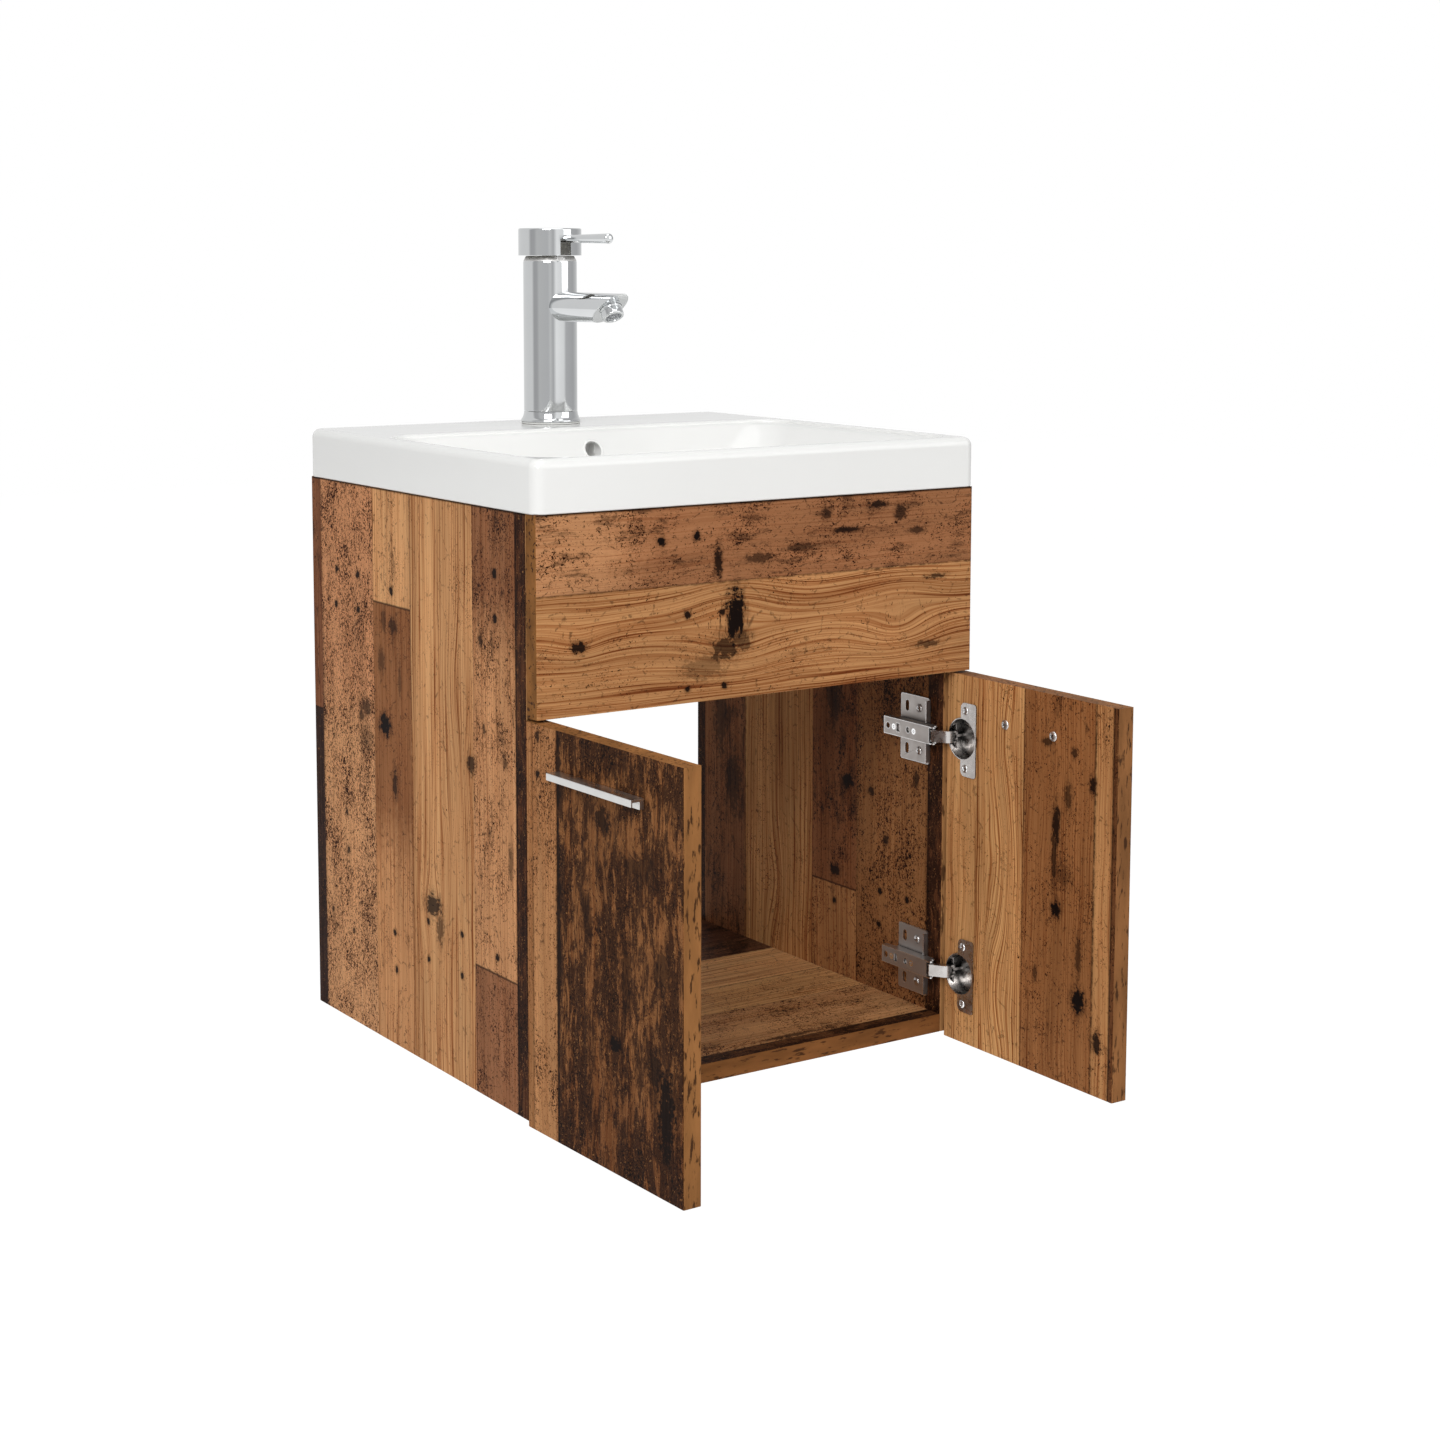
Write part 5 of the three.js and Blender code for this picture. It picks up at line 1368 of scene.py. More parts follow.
@dataclass
class Basin:
    """Ceramic basin: a block with round edges, a lofted bowl, and the duct behind it."""

    finishes: Finishes
    half: float = 206.7
    front: float = -381.7
    wall_gap: float = 0.1
    rim: float = 90.6
    foot: float = 50.3
    foot_chamfer: float = 0.6
    top_round: float = 7.0
    plan_radius: float = 9.0
    skirt: float = 9.0
    deck: float = 12.0
    rim_width: float = 11.0
    deck_depth: float = 112.0
    bowl_depth: float = 106.0
    wall: float = 9.0
    lip: float = 2.6  # round where the deck goes over into the bowl
    lip_overlap: float = 0.5  # how far that round starts inside the bowl's mouth
    mouth_corner_share: float = 0.115
    seat: float = 38.0
    waste_y: float = -237.987
    tube_radius: float = 20.9
    tube_cut: float = 60.0  # how far the tube's hole reaches below the bowl's floor
    tap_y: float = -53.0
    tap_hole: float = 17.5
    overflow_radius: float = 9.0
    overflow_drop: float = 19.0
    overflow_start: float = 2.0  # in front of the waste's axis
    overflow_reach: float = 128.0  # from there into the duct
    bead: tuple[float, float] = (1.2, 1.0)  # half width and half height of the hole's rim
    bead_overlap: float = 0.2
    duct_half: float = 8.0
    duct_depth: float = 10.0
    duct_set_back: float = 3.0
    duct_wall: float = 5.0
    overrun: float = 3.0  # how far a cut goes past a face
    corner: int = 14  # flats on a corner
    bowl_rings: int = 44
    crowding: float = 1.25  # draws the bowl's rings together near the rim
    steepest: float = 2.6  # how much a row's slope may exceed the mean between two rows
    rows: tuple[tuple[float, float, float, float, float], ...] = (
        (0.00, 0.000, 0.000, 0.000, 0.11),
        (0.03, 0.036, 0.045, 0.030, 0.12),
        (0.10, 0.090, 0.115, 0.085, 0.14),
        (0.24, 0.176, 0.220, 0.170, 0.17),
        (0.40, 0.235, 0.300, 0.230, 0.20),
        (0.60, 0.310, 0.390, 0.310, 0.25),
        (0.80, 0.405, 0.490, 0.420, 0.32),
        (0.93, 0.545, 0.620, 0.570, 0.42),
        (1.00, 1.000, 1.000, 1.000, 0.50),
    )  # shares of depth, and how far the sides, front and back have come in; corner share

    def ring(self, x: float, y0: float, y1: float, radius: float, z: float) -> Ring:
        """A rectangle with round corners, the same number of points on each."""
        corners = (
            (x - radius, y0 + radius, -90), (x - radius, y1 - radius, 0),
            (-x + radius, y1 - radius, 90), (-x + radius, y0 + radius, 180),
        )
        turns = range(self.corner + 1)
        return [
            (cx + radius * math.cos(a), cy + radius * math.sin(a), z)
            for cx, cy, start in corners
            for a in (math.radians(start + 90 * i / self.corner) for i in turns)
        ]

    def row(self, share: float) -> list[float]:
        """How far the bowl has come in at a share of its depth, smoothly between the rows.

        Args:
            share: depth below the rim as a share of the bowl's.

        Returns:
            Sides, front and back as shares, and the corner share.
        """
        rows = self.rows
        i = max(k for k in range(len(rows) - 1) if rows[k][0] <= share)
        a, b = rows[i], rows[i + 1]
        before, after = rows[max(i - 1, 0)], rows[min(i + 2, len(rows) - 1)]
        span = b[0] - a[0]
        w = (share - a[0]) / span
        found = []
        for k in range(1, 5):
            limit = self.steepest * ((b[k] - a[k]) / span)
            here = min((b[k] - before[k]) / (b[0] - before[0]), limit)
            there = min((after[k] - a[k]) / (after[0] - a[0]), limit)
            found.append(
                a[k] * (2 * w**3 - 3 * w**2 + 1) + b[k] * (3 * w**2 - 2 * w**3)
                + span * here * (w**3 - 2 * w**2 + w) + span * there * (w**3 - w**2)
            )
        return found

    def bowl_ring(self, share: float, grow: float) -> Ring:
        """One ring of the bowl, grown outwards by a wall."""
        mouth = self.half - self.rim_width
        front = self.front + self.rim_width
        back = -self.deck_depth
        side_in, front_in, back_in, corner = self.row(share)
        x = mouth + (self.seat - mouth) * side_in + grow
        y0 = front + (self.waste_y - self.seat - front) * front_in - grow
        y1 = back + (self.waste_y + self.seat - back) * back_in + grow
        widest = 0.497  # short of a half, so that two corners never meet
        radius = min((y1 - y0) * min(corner, widest), x - 0.01)
        return self.ring(x, y0, y1, radius, self.rim - self.bowl_depth * share - grow)

    def bowl(self, grow: float, steps: int) -> Mesh:
        """The bowl's inside, or its outside where it is grown.

        Args:
            grow: the wall, or 0 for the inside.
            steps: rings between rim and floor.

        Returns:
            A closed solid.
        """
        rings = [self.bowl_ring((i / steps) ** self.crowding, grow) for i in range(steps, 0, -1)]
        if grow > 0:
            return loft("bowl outside", [*rings, self.bowl_ring(0.0, grow)])
        mouth, front = self.half - self.rim_width, self.front + self.rim_width
        back = -self.deck_depth
        keep = [r for r in rings if r[0][2] < self.rim - self.lip]
        for cos, sin in quarter(6):
            out = self.lip * (1 - cos) - self.lip_overlap
            radius = (back - front) * self.mouth_corner_share + out
            keep.append(self.ring(mouth + out, front - out, back + out, radius,
                                  self.rim - self.lip * (1 - sin)))
        keep.append([(x, y, self.rim + self.overrun) for x, y, _ in keep[-1]])
        return loft("bowl inside", keep)

    def block(self) -> Mesh:
        """The outside, with its round top edge."""
        chamfer = self.foot_chamfer
        rings = [self.ring(self.half - chamfer, self.front + chamfer, -self.wall_gap,
                           self.plan_radius, self.foot)]
        levels = [(self.foot + chamfer, 0.0)]
        levels += [(self.rim - self.top_round * (1 - sin), self.top_round * (1 - cos))
                   for cos, sin in quarter(10)]
        for z, inset in levels:
            rings.append(self.ring(self.half - inset, self.front + inset, -inset * 0.5,
                                   self.plan_radius - inset * 0.6, z))
        return loft("basin block", rings)

    def duct(self, grow: float) -> list[Mesh]:
        """The overflow duct, or its outside where it is grown."""
        half = self.duct_half + grow
        front = -self.deck_depth - self.duct_set_back
        foot = self.rim - self.bowl_depth - self.wall - self.duct_depth
        top = self.rim - self.overflow_drop + self.overflow_radius / 2
        back = front + self.duct_depth + grow
        return [
            box("shaft", (-half, front - grow, foot - grow), (half, back, top + grow)),
            box("run", (-half, self.waste_y, foot - grow),
                (half, back, foot + self.duct_depth + grow)),
        ]

    def overflow_rim(self) -> Mesh:
        """The bead round the overflow hole, laid against the slope of the bowl's back."""
        share, near = self.overflow_drop / self.bowl_depth, 0.03
        above, here, below = (
            max(y for _, y, _ in self.bowl_ring(share + d, 0.0)) for d in (-near, 0.0, near)
        )
        slope = math.degrees(math.atan2(above - below, 2 * near * self.bowl_depth))
        wide, high = self.bead
        bead = [(self.overflow_radius - self.bead_overlap + wide * math.cos(a), high * math.sin(a))
                for a in (math.pi * i / 8 for i in range(16))]
        return placed(turned("lip", bead, 64, ring=True),
                      aimed((0, here, self.rim - self.overflow_drop), 90 - slope))

    def build(self) -> None:
        """Cast the basin and set it down."""
        half, overrun = self.half - self.skirt, self.overrun
        hollow = loft("hollow", [
            self.ring(half, self.front + self.skirt, -self.skirt, self.skirt / 2, z)
            for z in (self.foot - overrun, self.rim - self.deck)
        ])
        floor = self.rim - self.bowl_depth
        shelf = self.wall + self.duct_depth + self.duct_wall
        boss = rod("boss", self.seat - self.wall / 2, floor - shelf, floor - CLEAR)
        hole = rod("waste hole", self.tube_radius, floor - self.tube_cut, self.rim)
        tap_hole = rod("tap hole", self.tap_hole, self.rim - self.deck - overrun,
                       self.rim + overrun)
        eye = rod("overflow", self.overflow_radius, 0, self.overflow_reach, 64)
        start = (0, self.waste_y - self.overflow_start, self.rim - self.overflow_drop)
        placed(eye, aimed(start, -90))
        shaft, run = self.duct(self.duct_wall)
        clear_shaft, clear_run = self.duct(0)
        made = carved(self.block(), [
            (Cut.AWAY, hollow), (Cut.TOGETHER, self.bowl(self.wall, 26)),
            (Cut.TOGETHER, shaft), (Cut.TOGETHER, run),
            (Cut.TOGETHER, shifted(boss, y=self.waste_y)),
            (Cut.AWAY, self.bowl(0.0, self.bowl_rings)), (Cut.AWAY, clear_shaft),
            (Cut.AWAY, clear_run), (Cut.AWAY, eye), (Cut.AWAY, shifted(hole, y=self.waste_y)),
            (Cut.AWAY, shifted(tap_hole, y=self.tap_y)), (Cut.TOGETHER, self.overflow_rim()),
        ])
        piece("basin_glazed", made, self.finishes.ceramic, "cabinet", ("basin",),
              Edge(0.9, 3, 35))


# The tap


@dataclass
class Standing:
    """Something that is made about its own upright axis and stands on the basin."""

    finishes: Finishes
    y: float
    foot: float

    def put(
        self,
        node: str,
        mesh: Mesh,
        finish: Material | None = None,
        slot: str = "chrome",
        body: str = "cabinet",
        how: str = "plated",
    ) -> None:
        """Set a mesh in its place, as the piece that stands for a solid.

        Args:
            node: the solid.
            mesh: made about the axis.
            finish: its material, or None where the mesh has its own.
            slot: not used.
            body: what it moves with.
            how: ends the piece's name.
        """
        mesh = shifted(mesh, y=self.y, z=self.foot)
        piece(f"{node}_{how}", mesh, finish, body, (node,), None)


@dataclass
class Tap(Standing):
    """Single-lever tap: base ring, body with its spout, aerator, turning head and lever."""

    y: float = -53.0
    foot: float = 90.9
    ring_radius: float = 26.0
    ring_foot: float = 1.5
    ring_height: float = 9.0
    ring_bore: float = 15.0
    body_radius: float = 23.3
    body_foot: float = 10.8
    shoulder: float = 145.0
    shoulder_drop: float = 4.6
    shoulder_inset: float = 2.4
    cartridge_radius: float = 17.2
    cartridge_foot: float = 103.5
    head_foot: float = 145.3
    head_radius: float = 27.4
    head_height: float = 23.5
    head_roof: float = 2.6
    head_wall: float = 1.9
    head_round: float = 0.9
    hub_radius: float = 9.0
    hub_drop: float = 12.5
    slot_width: float = 10.5
    stem_half: float = 4.1
    spout_z: float = 101.5
    spout_radius: float = 12.6
    spout_reach: float = 100.0
    spout_cut: float = 32.0
    waterway: float = 6.0
    inlet_radius: float = 4.4
    inlet_at: tuple[float, float] = (6.5, -7.0)
    inlet_depth: float = 16.0
    aerator_radius: float = 9.3
    aerator_insert: float = 6.0
    aerator_length: float = 9.0
    lever_z: float = 159.6
    lever_start: float = 4.1
    lever_root: float = 3.2
    lever_tip: float = 4.3
    lever_round: float = 2.4
    lever_reach: float = 99.5
    stud_y: float = 9.0
    stud_radius: float = 4.0
    stud_pitch: float = 1.25
    stud_top: float = 24.8
    stud_foot: float = -63.2
    overrun: float = 2.0  # how far a cut goes past a face
    margin: float = 0.1  # how near a face may be to the edge of what is polished

    def polish(self, mesh: Mesh, rest: Material, shows: Callable[[Vector], bool]) -> None:
        """Polish the faces that show.

        Args:
            mesh: made about the tap's own foot, in metres.
            rest: the finish of the other faces.
            shows: tells from the middle of a face, in mm, whether it is polished.
        """
        mesh.materials.clear()
        mesh.materials.append(self.finishes.chrome)
        mesh.materials.append(rest)
        for face in mesh.polygons:
            face.material_index = 0 if shows(face.center / MM) else 1

    def slanted(self) -> Matrix:
        """From the spout's cut face, with Z outwards, to the tap's own frame."""
        return aimed((0, -self.spout_reach, self.spout_z), 180 - self.spout_cut)

    def spout(self) -> Mesh:
        """The spout, cut at a slant below its end with a softened rim."""
        slope = 1 / math.tan(math.radians(self.spout_cut))
        rings = []
        for inset, back in ((0, None), (0, 0.9), (0.12, 0.35), (0.45, 0.05), (0.9, 0.0)):
            ring: Ring = []
            for x, dz, _ in circle(self.spout_radius - inset, 0, 96):
                end = -self.spout_reach - dz * slope
                ring.append((x, -self.overrun if back is None else end + back, self.spout_z + dz))
            rings.append(ring)
        return loft("spout", rings)

    def body(self) -> None:
        """The column with its spout, socket and waterway."""
        top, edge = self.shoulder - self.shoulder_drop, self.body_radius
        column = turned("column", rounded([
            (edge - 0.5, self.body_foot, 0), (edge, self.body_foot, 0.4), (edge, top, 1.6),
            (edge - self.shoulder_inset, self.shoulder, 0.9),
            (self.cartridge_radius + 1, self.shoulder, 0),
        ]), 160)
        under = self.body_foot - self.overrun
        bore = rod("bore", self.waterway, 0, self.spout_reach + 2 * self.waterway, 48)
        seat = rod("aerator seat", self.aerator_radius + CLEAR, -self.aerator_insert - CLEAR,
                   self.spout_radius, 72)
        x, y = self.inlet_at
        cuts = [
            rod("socket", self.cartridge_radius + CLEAR, self.cartridge_foot - CLEAR,
                self.shoulder + self.overrun, 96),
            rod("feed", self.waterway, self.spout_z - self.waterway, self.shoulder, 48),
            placed(bore, aimed((0, self.waterway, self.spout_z), 90)),
            placed(seat, self.slanted()),
            shifted(rod("stud hole", self.stud_radius + CLEAR, under, self.stud_top + CLEAR, 32),
                    y=self.stud_y),
        ]
        for side in (-x, x):
            inlet = rod("inlet", self.inlet_radius, under, self.body_foot + self.inlet_depth, 32)
            cuts.append(shifted(inlet, x=side, y=y))
        made = carved(column, [(Cut.TOGETHER, self.spout()), *[(Cut.AWAY, cut) for cut in cuts]])
        self.polish(made, self.finishes.matt_chrome, lambda at: at.z < top + self.margin)
        self.put("tap_body", made)

    def ring(self) -> None:
        """The flared ring round the foot."""
        foot, top = self.ring_foot, self.ring_foot + self.ring_height
        outside = rounded([
            (self.ring_bore, foot, 0), (self.ring_radius - 0.4, foot, 0),
            (self.ring_radius, foot + 0.4, 0.3), (self.ring_radius, foot + 1.6, 0.8),
            (self.ring_radius - 1.3, foot + 3.2, 1.2), (self.body_radius + 0.35, foot + 6.2, 2.0),
            (self.body_radius, top, 0), (self.ring_bore, top, 0),
        ], 6)
        self.put("tap_base_ring", turned("ring", outside, 160, ring=True), self.finishes.chrome)

    def aerator(self) -> None:
        """The aerator's barrel, with a milled rim, and the ribbed insert in its mouth."""
        r, long, bore = self.aerator_radius, self.aerator_length, self.waterway - 1.3
        barrel = turned("barrel", rounded([
            (bore, -self.aerator_insert, 0), (r, -self.aerator_insert, 0.3),
            (r, 1.2, 0.2), (r - 0.5, 1.7, 0.2), (r - 0.5, 2.6, 0.2), (r, 3.1, 0.2),
            (r, long - 0.7, 0.4), (r - 0.7, long, 0.4), (r - 2.4, long, 0.3),
            (r - 2.6, long - 1.4, 0.2), (bore, long - 1.8, 0),
        ], 3), 96, ring=True)
        foot, top = long - 2.0, long - 1.0
        hoop = [(3.6, foot), (4.1, foot), (4.1, top), (3.6, top)]
        insert = [rod("hub", 1.4, long - 2.2, long - 0.9, 32), turned("hoop", hoop, 48, ring=True)]
        ribs = 12
        for i in range(ribs):
            rib = box("rib", (-0.25, 1.0, foot), (0.25, r - 2.0, top))
            insert.append(placed(rib, Matrix.Rotation(2 * math.pi * i / ribs, 4, "Z")))
        for mesh in insert:
            mesh.materials.append(self.finishes.grey_plastic)
        barrel.materials.append(self.finishes.chrome)
        self.put("tap_aerator", placed(joined("aerator", [barrel, *insert]), self.slanted()))

    def head(self) -> None:
        """The hollow head with its slot, hub and the hole for the lever."""
        foot, top = self.head_foot, self.head_foot + self.head_height
        r, edge = self.head_radius, self.head_round
        half, stem = self.slot_width / 2, self.stem_half
        cap = turned("cap", rounded([
            (self.hub_radius, foot, 0), (r, foot, 0.35), (r, top - edge, 0.7),
            (r - edge, top, 0.7), (2, top, 0),
        ]), 160)
        inner, roof = r - self.head_wall, top - self.head_roof
        hub_foot = roof - self.hub_drop
        slot = box("slot", (-half, -r - self.overrun, foot - self.overrun),
                   (half, -self.hub_radius - CLEAR, self.lever_z))
        socket = box("socket", (-stem, -stem, hub_foot - self.overrun),
                     (stem, stem, self.lever_z - self.lever_root))
        hole = rod("pin hole", self.lever_root + CLEAR, 0, r + self.overrun, 48)
        made = carved(cap, [
            (Cut.AWAY, rod("inside", inner, foot - self.overrun, roof)),
            (Cut.TOGETHER, rod("hub", self.hub_radius, hub_foot, top - 1, 64)),
            (Cut.AWAY, slot), (Cut.AWAY, socket),
            (Cut.AWAY, placed(hole, aimed((0, 0, self.lever_z), 90))),
        ])
        near = self.margin
        self.polish(made, self.finishes.white_plastic,
                    lambda at: math.hypot(at.x, at.y) > inner + near or at.z > roof + near)
        self.put("tap_head", made, body="tap_lift")

    def lever(self) -> None:
        """The pin lever, slightly thicker towards its round end."""
        r, end = self.head_radius, self.lever_reach - self.lever_round
        profile = [(self.lever_root, self.lever_start), (self.lever_root, r)]
        for i in range(1, 9):
            t = i / 8
            profile.append((self.lever_root + (self.lever_tip - self.lever_root) * t,
                            r + (end - r) * t))
        for cos, sin in quarter(9)[1:]:
            profile.append((max(self.lever_tip * cos, 0.02), end + self.lever_round * sin))
        made = placed(turned("lever", profile, 64), aimed((0, 0, self.lever_z), 90))
        self.put("tap_lever", made, self.finishes.chrome, body="tap_lift")

    def stud(self) -> None:
        """The threaded stud under the deck."""
        levels, z = [(0.8, self.stud_foot)], self.stud_foot
        while z + self.stud_pitch < self.stud_top:
            levels += [(deep, z + self.stud_pitch * share)
                       for deep, share in ((0.55, 0.1), (0.0, 0.5), (0.0, 0.62))]
            z += self.stud_pitch
        levels.append((0.6, self.stud_top))
        rings = [circle(self.stud_radius - deep, z, 24, y=self.stud_y) for deep, z in levels]
        self.put("tap_stud", loft("stud", rings), self.finishes.zinc, "zinc", how="threaded")

    def build(self) -> None:
        """Make all of the tap."""
        self.ring()
        self.body()
        self.aerator()
        self.head()
        self.lever()
        self.stud()
        made = self.finishes
        softened("tap_stud_nut", "hexagon", made.nickel, "cabinet", Edge(0.5, 3))
        softened("tap_cartridge_nut", "turned", made.nickel, "cabinet", Edge(0.4))
        softened("tap_stem", "milled", made.nickel, "tap_lift", Edge(0.3))
        softened("tap_rotor", "moulded", made.white_plastic, "tap_turn",
                 Edge(0.25))
        softened("tap_clamp_plate", "pressed", made.zinc, "cabinet", Edge(0.35))
        dress(made.silicone, "tap_gasket")
        dress(made.rubber, "tap_clamp_rubber")
        dress(made.white_plastic, "tap_cartridge")


# The waste


@dataclass
class Waste(Standing):
    """Push-button waste: flange and tube with ribs, plug, gaskets and nut."""

    y: float = -237.987
    foot: float = -15.4
    shelf: float = 24.0
    tube_radius: float = 20.6
    tube_wall: float = 2.6
    tube_length: float = 62.0
    thread_pitch: float = 2.1
    flange_foot: float = 2.2
    flange: float = 3.0
    flange_radius: float = 31.5
    hub_radius: float = 7.0
    hub_length: float = 22.0
    stem_radius: float = 3.6
    play: float = 0.35
    rib: float = 2.4
    window: float = 12.0
    window_share: float = 0.8  # of the duct's height
    duct: float = 10.0
    wall: float = 9.0
    plug_radius: float = 30.0
    plug_thickness: float = 3.4
    plug_dome: float = 3.2
    plug_lift: float = 7.0
    overrun: float = 2.0  # how far a window's cut goes past the tube's wall

    def body(self) -> None:
        """Flange, tube with its thread, overflow windows, hub and ribs."""
        foot, r = -self.shelf - self.tube_length, self.tube_radius
        flange, wide = self.flange_foot, self.flange_radius
        top, bore = flange + self.flange, r - self.tube_wall
        profile: list[tuple[float, float, float]] = [(bore, foot, 0), (r - 0.6, foot, 0)]
        z = foot + 1.0
        while z < -self.shelf - 3:
            profile += [(r - 0.65, z, 0), (r, z + 0.9, 0), (r, z + 1.2, 0)]
            z += self.thread_pitch
        profile += [
            (r - 0.3, -self.shelf - 1, 0), (r, -self.shelf, 0), (r, flange, 0),
            (wide, flange, 0.2), (wide, flange + 1.0, 0.8), (wide - self.flange, top, 1.2),
            (bore + 1.2, top, 0.8), (bore, top - 1.2, 0.5),
        ]
        tube = turned("tube", rounded(profile), 96, ring=True)
        half, middle = self.duct * self.window_share / 2, -self.wall - self.duct / 2
        windows = [
            box("window", (-self.window / 2, sign * (bore - self.overrun), middle - half),
                (self.window / 2, sign * (r + self.overrun), middle + half)) for sign in (-1, 1)
        ]
        hub_top, stem = flange - self.flange, self.stem_radius + self.play
        hub_foot = hub_top - self.hub_length
        hub = turned("hub", [(stem, hub_foot), (self.hub_radius, hub_foot),
                             (self.hub_radius, hub_top), (stem, hub_top)], 64, ring=True)
        reach, rib_foot = bore + self.tube_wall / 2, hub_top - self.hub_length / 2
        ribs = []
        for turn in range(4):
            rib = box("rib", (-self.rib / 2, self.hub_radius - 1, rib_foot),
                      (self.rib / 2, reach, hub_top))
            ribs.append(placed(rib, Matrix.Rotation(math.pi / 2 * turn, 4, "Z")))
        made = carved(tube, [*[(Cut.AWAY, window) for window in windows],
                             *[(Cut.TOGETHER, part) for part in (hub, *ribs)]])
        self.put("waste_body", made, self.finishes.chrome)

    def plug(self) -> None:
        """The domed push plug on its stem."""
        stem_foot = self.flange_foot - self.flange - self.hub_length + self.plug_lift + CLEAR
        foot = self.flange_foot + self.flange + self.plug_lift + CLEAR
        rim, edge, sunk = foot + self.plug_thickness, self.plug_radius, 0.9
        profile: list[tuple[float, float, float]] = [
            (0.4, stem_foot, 0), (self.stem_radius, stem_foot, 0.5), (self.stem_radius, foot, 0.8),
            (edge - 2.2, foot, 0.4), (edge, foot + 0.7, 0.6),
            (edge, rim - self.plug_dome / 2, 1.0),
        ]
        for i in range(1, 13):
            t = i / 12
            rise = (self.plug_dome + sunk) * math.sqrt(1 - (1 - t) ** 2.4)
            profile.append((max(edge * (1 - t) - 0.4 * t, 0.05), rim - sunk + rise, 0))
        self.put("waste_plug", turned("plug", rounded(profile), 128), self.finishes.chrome,
                 body="waste_plug")

    def build(self) -> None:
        """Make all of the waste."""
        self.body()
        self.plug()
        softened("waste_nut", "moulded", self.finishes.grey_plastic, "cabinet",
                 Edge(0.9, 3))
        dress(self.finishes.rubber, "waste_gasket", "waste_lower_gasket")


# The doors and their hinges


@dataclass
class Door:
    """One door as it stands open, with its handle, the cups of its hinges and screws."""

    finishes: Finishes
    screws: ScrewTree
    side: str
    open_deg: float
    ear_spacing: float = 48.0
    ear_shift: float = 4.0  # from the middle of the cup's box to the ears, along the door

    def build(self) -> None:
        """Dress the board and make the metal on it."""
        side, body = self.side, f"{self.side}_door"
        dress(BOARDS[f"door_{side}"].build(), f"door_{side}")
        softened(f"handle_{side}", "extruded", self.finishes.aluminium, body,
                 Edge(0.55, 3))
        for level in ("lower", "upper"):
            softened(f"hinge_{side}_{level}_cup", "pressed", self.finishes.tumbled,
                     body, Edge(0.22))
        made = self.screw_meshes()
        piece(f"door_{side}_screws", made, None, body,
              (f"handle_screw_{side}_hinge_side", f"handle_screw_{side}_free_side"),
              Edge(0.12, 1, 35))

    def inward(self) -> Vector:
        """The way that the open door's inner face looks."""
        turn = -math.radians(self.open_deg)
        sign = -1.0 if self.side == "right" else 1.0
        way = Vector((0.0, 1.0, 0.0))
        way.rotate(Matrix.Rotation(turn * sign, 3, "Z"))
        return way

    def screw_meshes(self) -> Mesh:
        """Heads in the ears of the cups, and the two that hold the handle."""
        way = self.inward()
        aim = (way.x, way.y, 0.0)
        along = Vector((-way.y, way.x, 0.0))
        if along.y > 0:
            along = -along
        ears: list[Seat] = []
        for level in ("lower", "upper"):
            face, middle = self.face_and_middle(f"hinge_{self.side}_{level}_cup", way)
            seat = face + along * (middle - face).dot(along)
            seat += along * self.ear_shift
            for sign in (-1, 1):
                spot = (seat.x, seat.y, middle.z + sign * self.ear_spacing / 2)
                ears.append((spot, aim))
        handles: list[Seat] = []
        for end in ("hinge_side", "free_side"):
            face, middle = self.face_and_middle(f"handle_screw_{self.side}_{end}", way)
            seat = middle + way * ((face - middle).dot(way) - HANDLE_SCREW.head_height)
            handles.append(((seat.x, seat.y, middle.z), aim))
        seed = 11 if self.side == "left" else 12
        return joined("door screws", [
            self.screws.screws(EAR_SCREW, ears, self.finishes.nickel, seed),
            self.screws.screws(HANDLE_SCREW, handles, self.finishes.nickel, seed + 5),
        ])

    def face_and_middle(self, node: str, way: Vector) -> tuple[Vector, Vector]:
        """A point of the side of a solid's box that looks one way, and the box's middle.

        Args:
            node: the solid.
            way: level and of length 1.

        Returns:
            Both in mm, the first at height 0.
        """
        low, high = (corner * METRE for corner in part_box(node))
        middle = (low + high) / 2
        return Vector((high.x if way.x > 0 else low.x, middle.y, 0.0)), middle


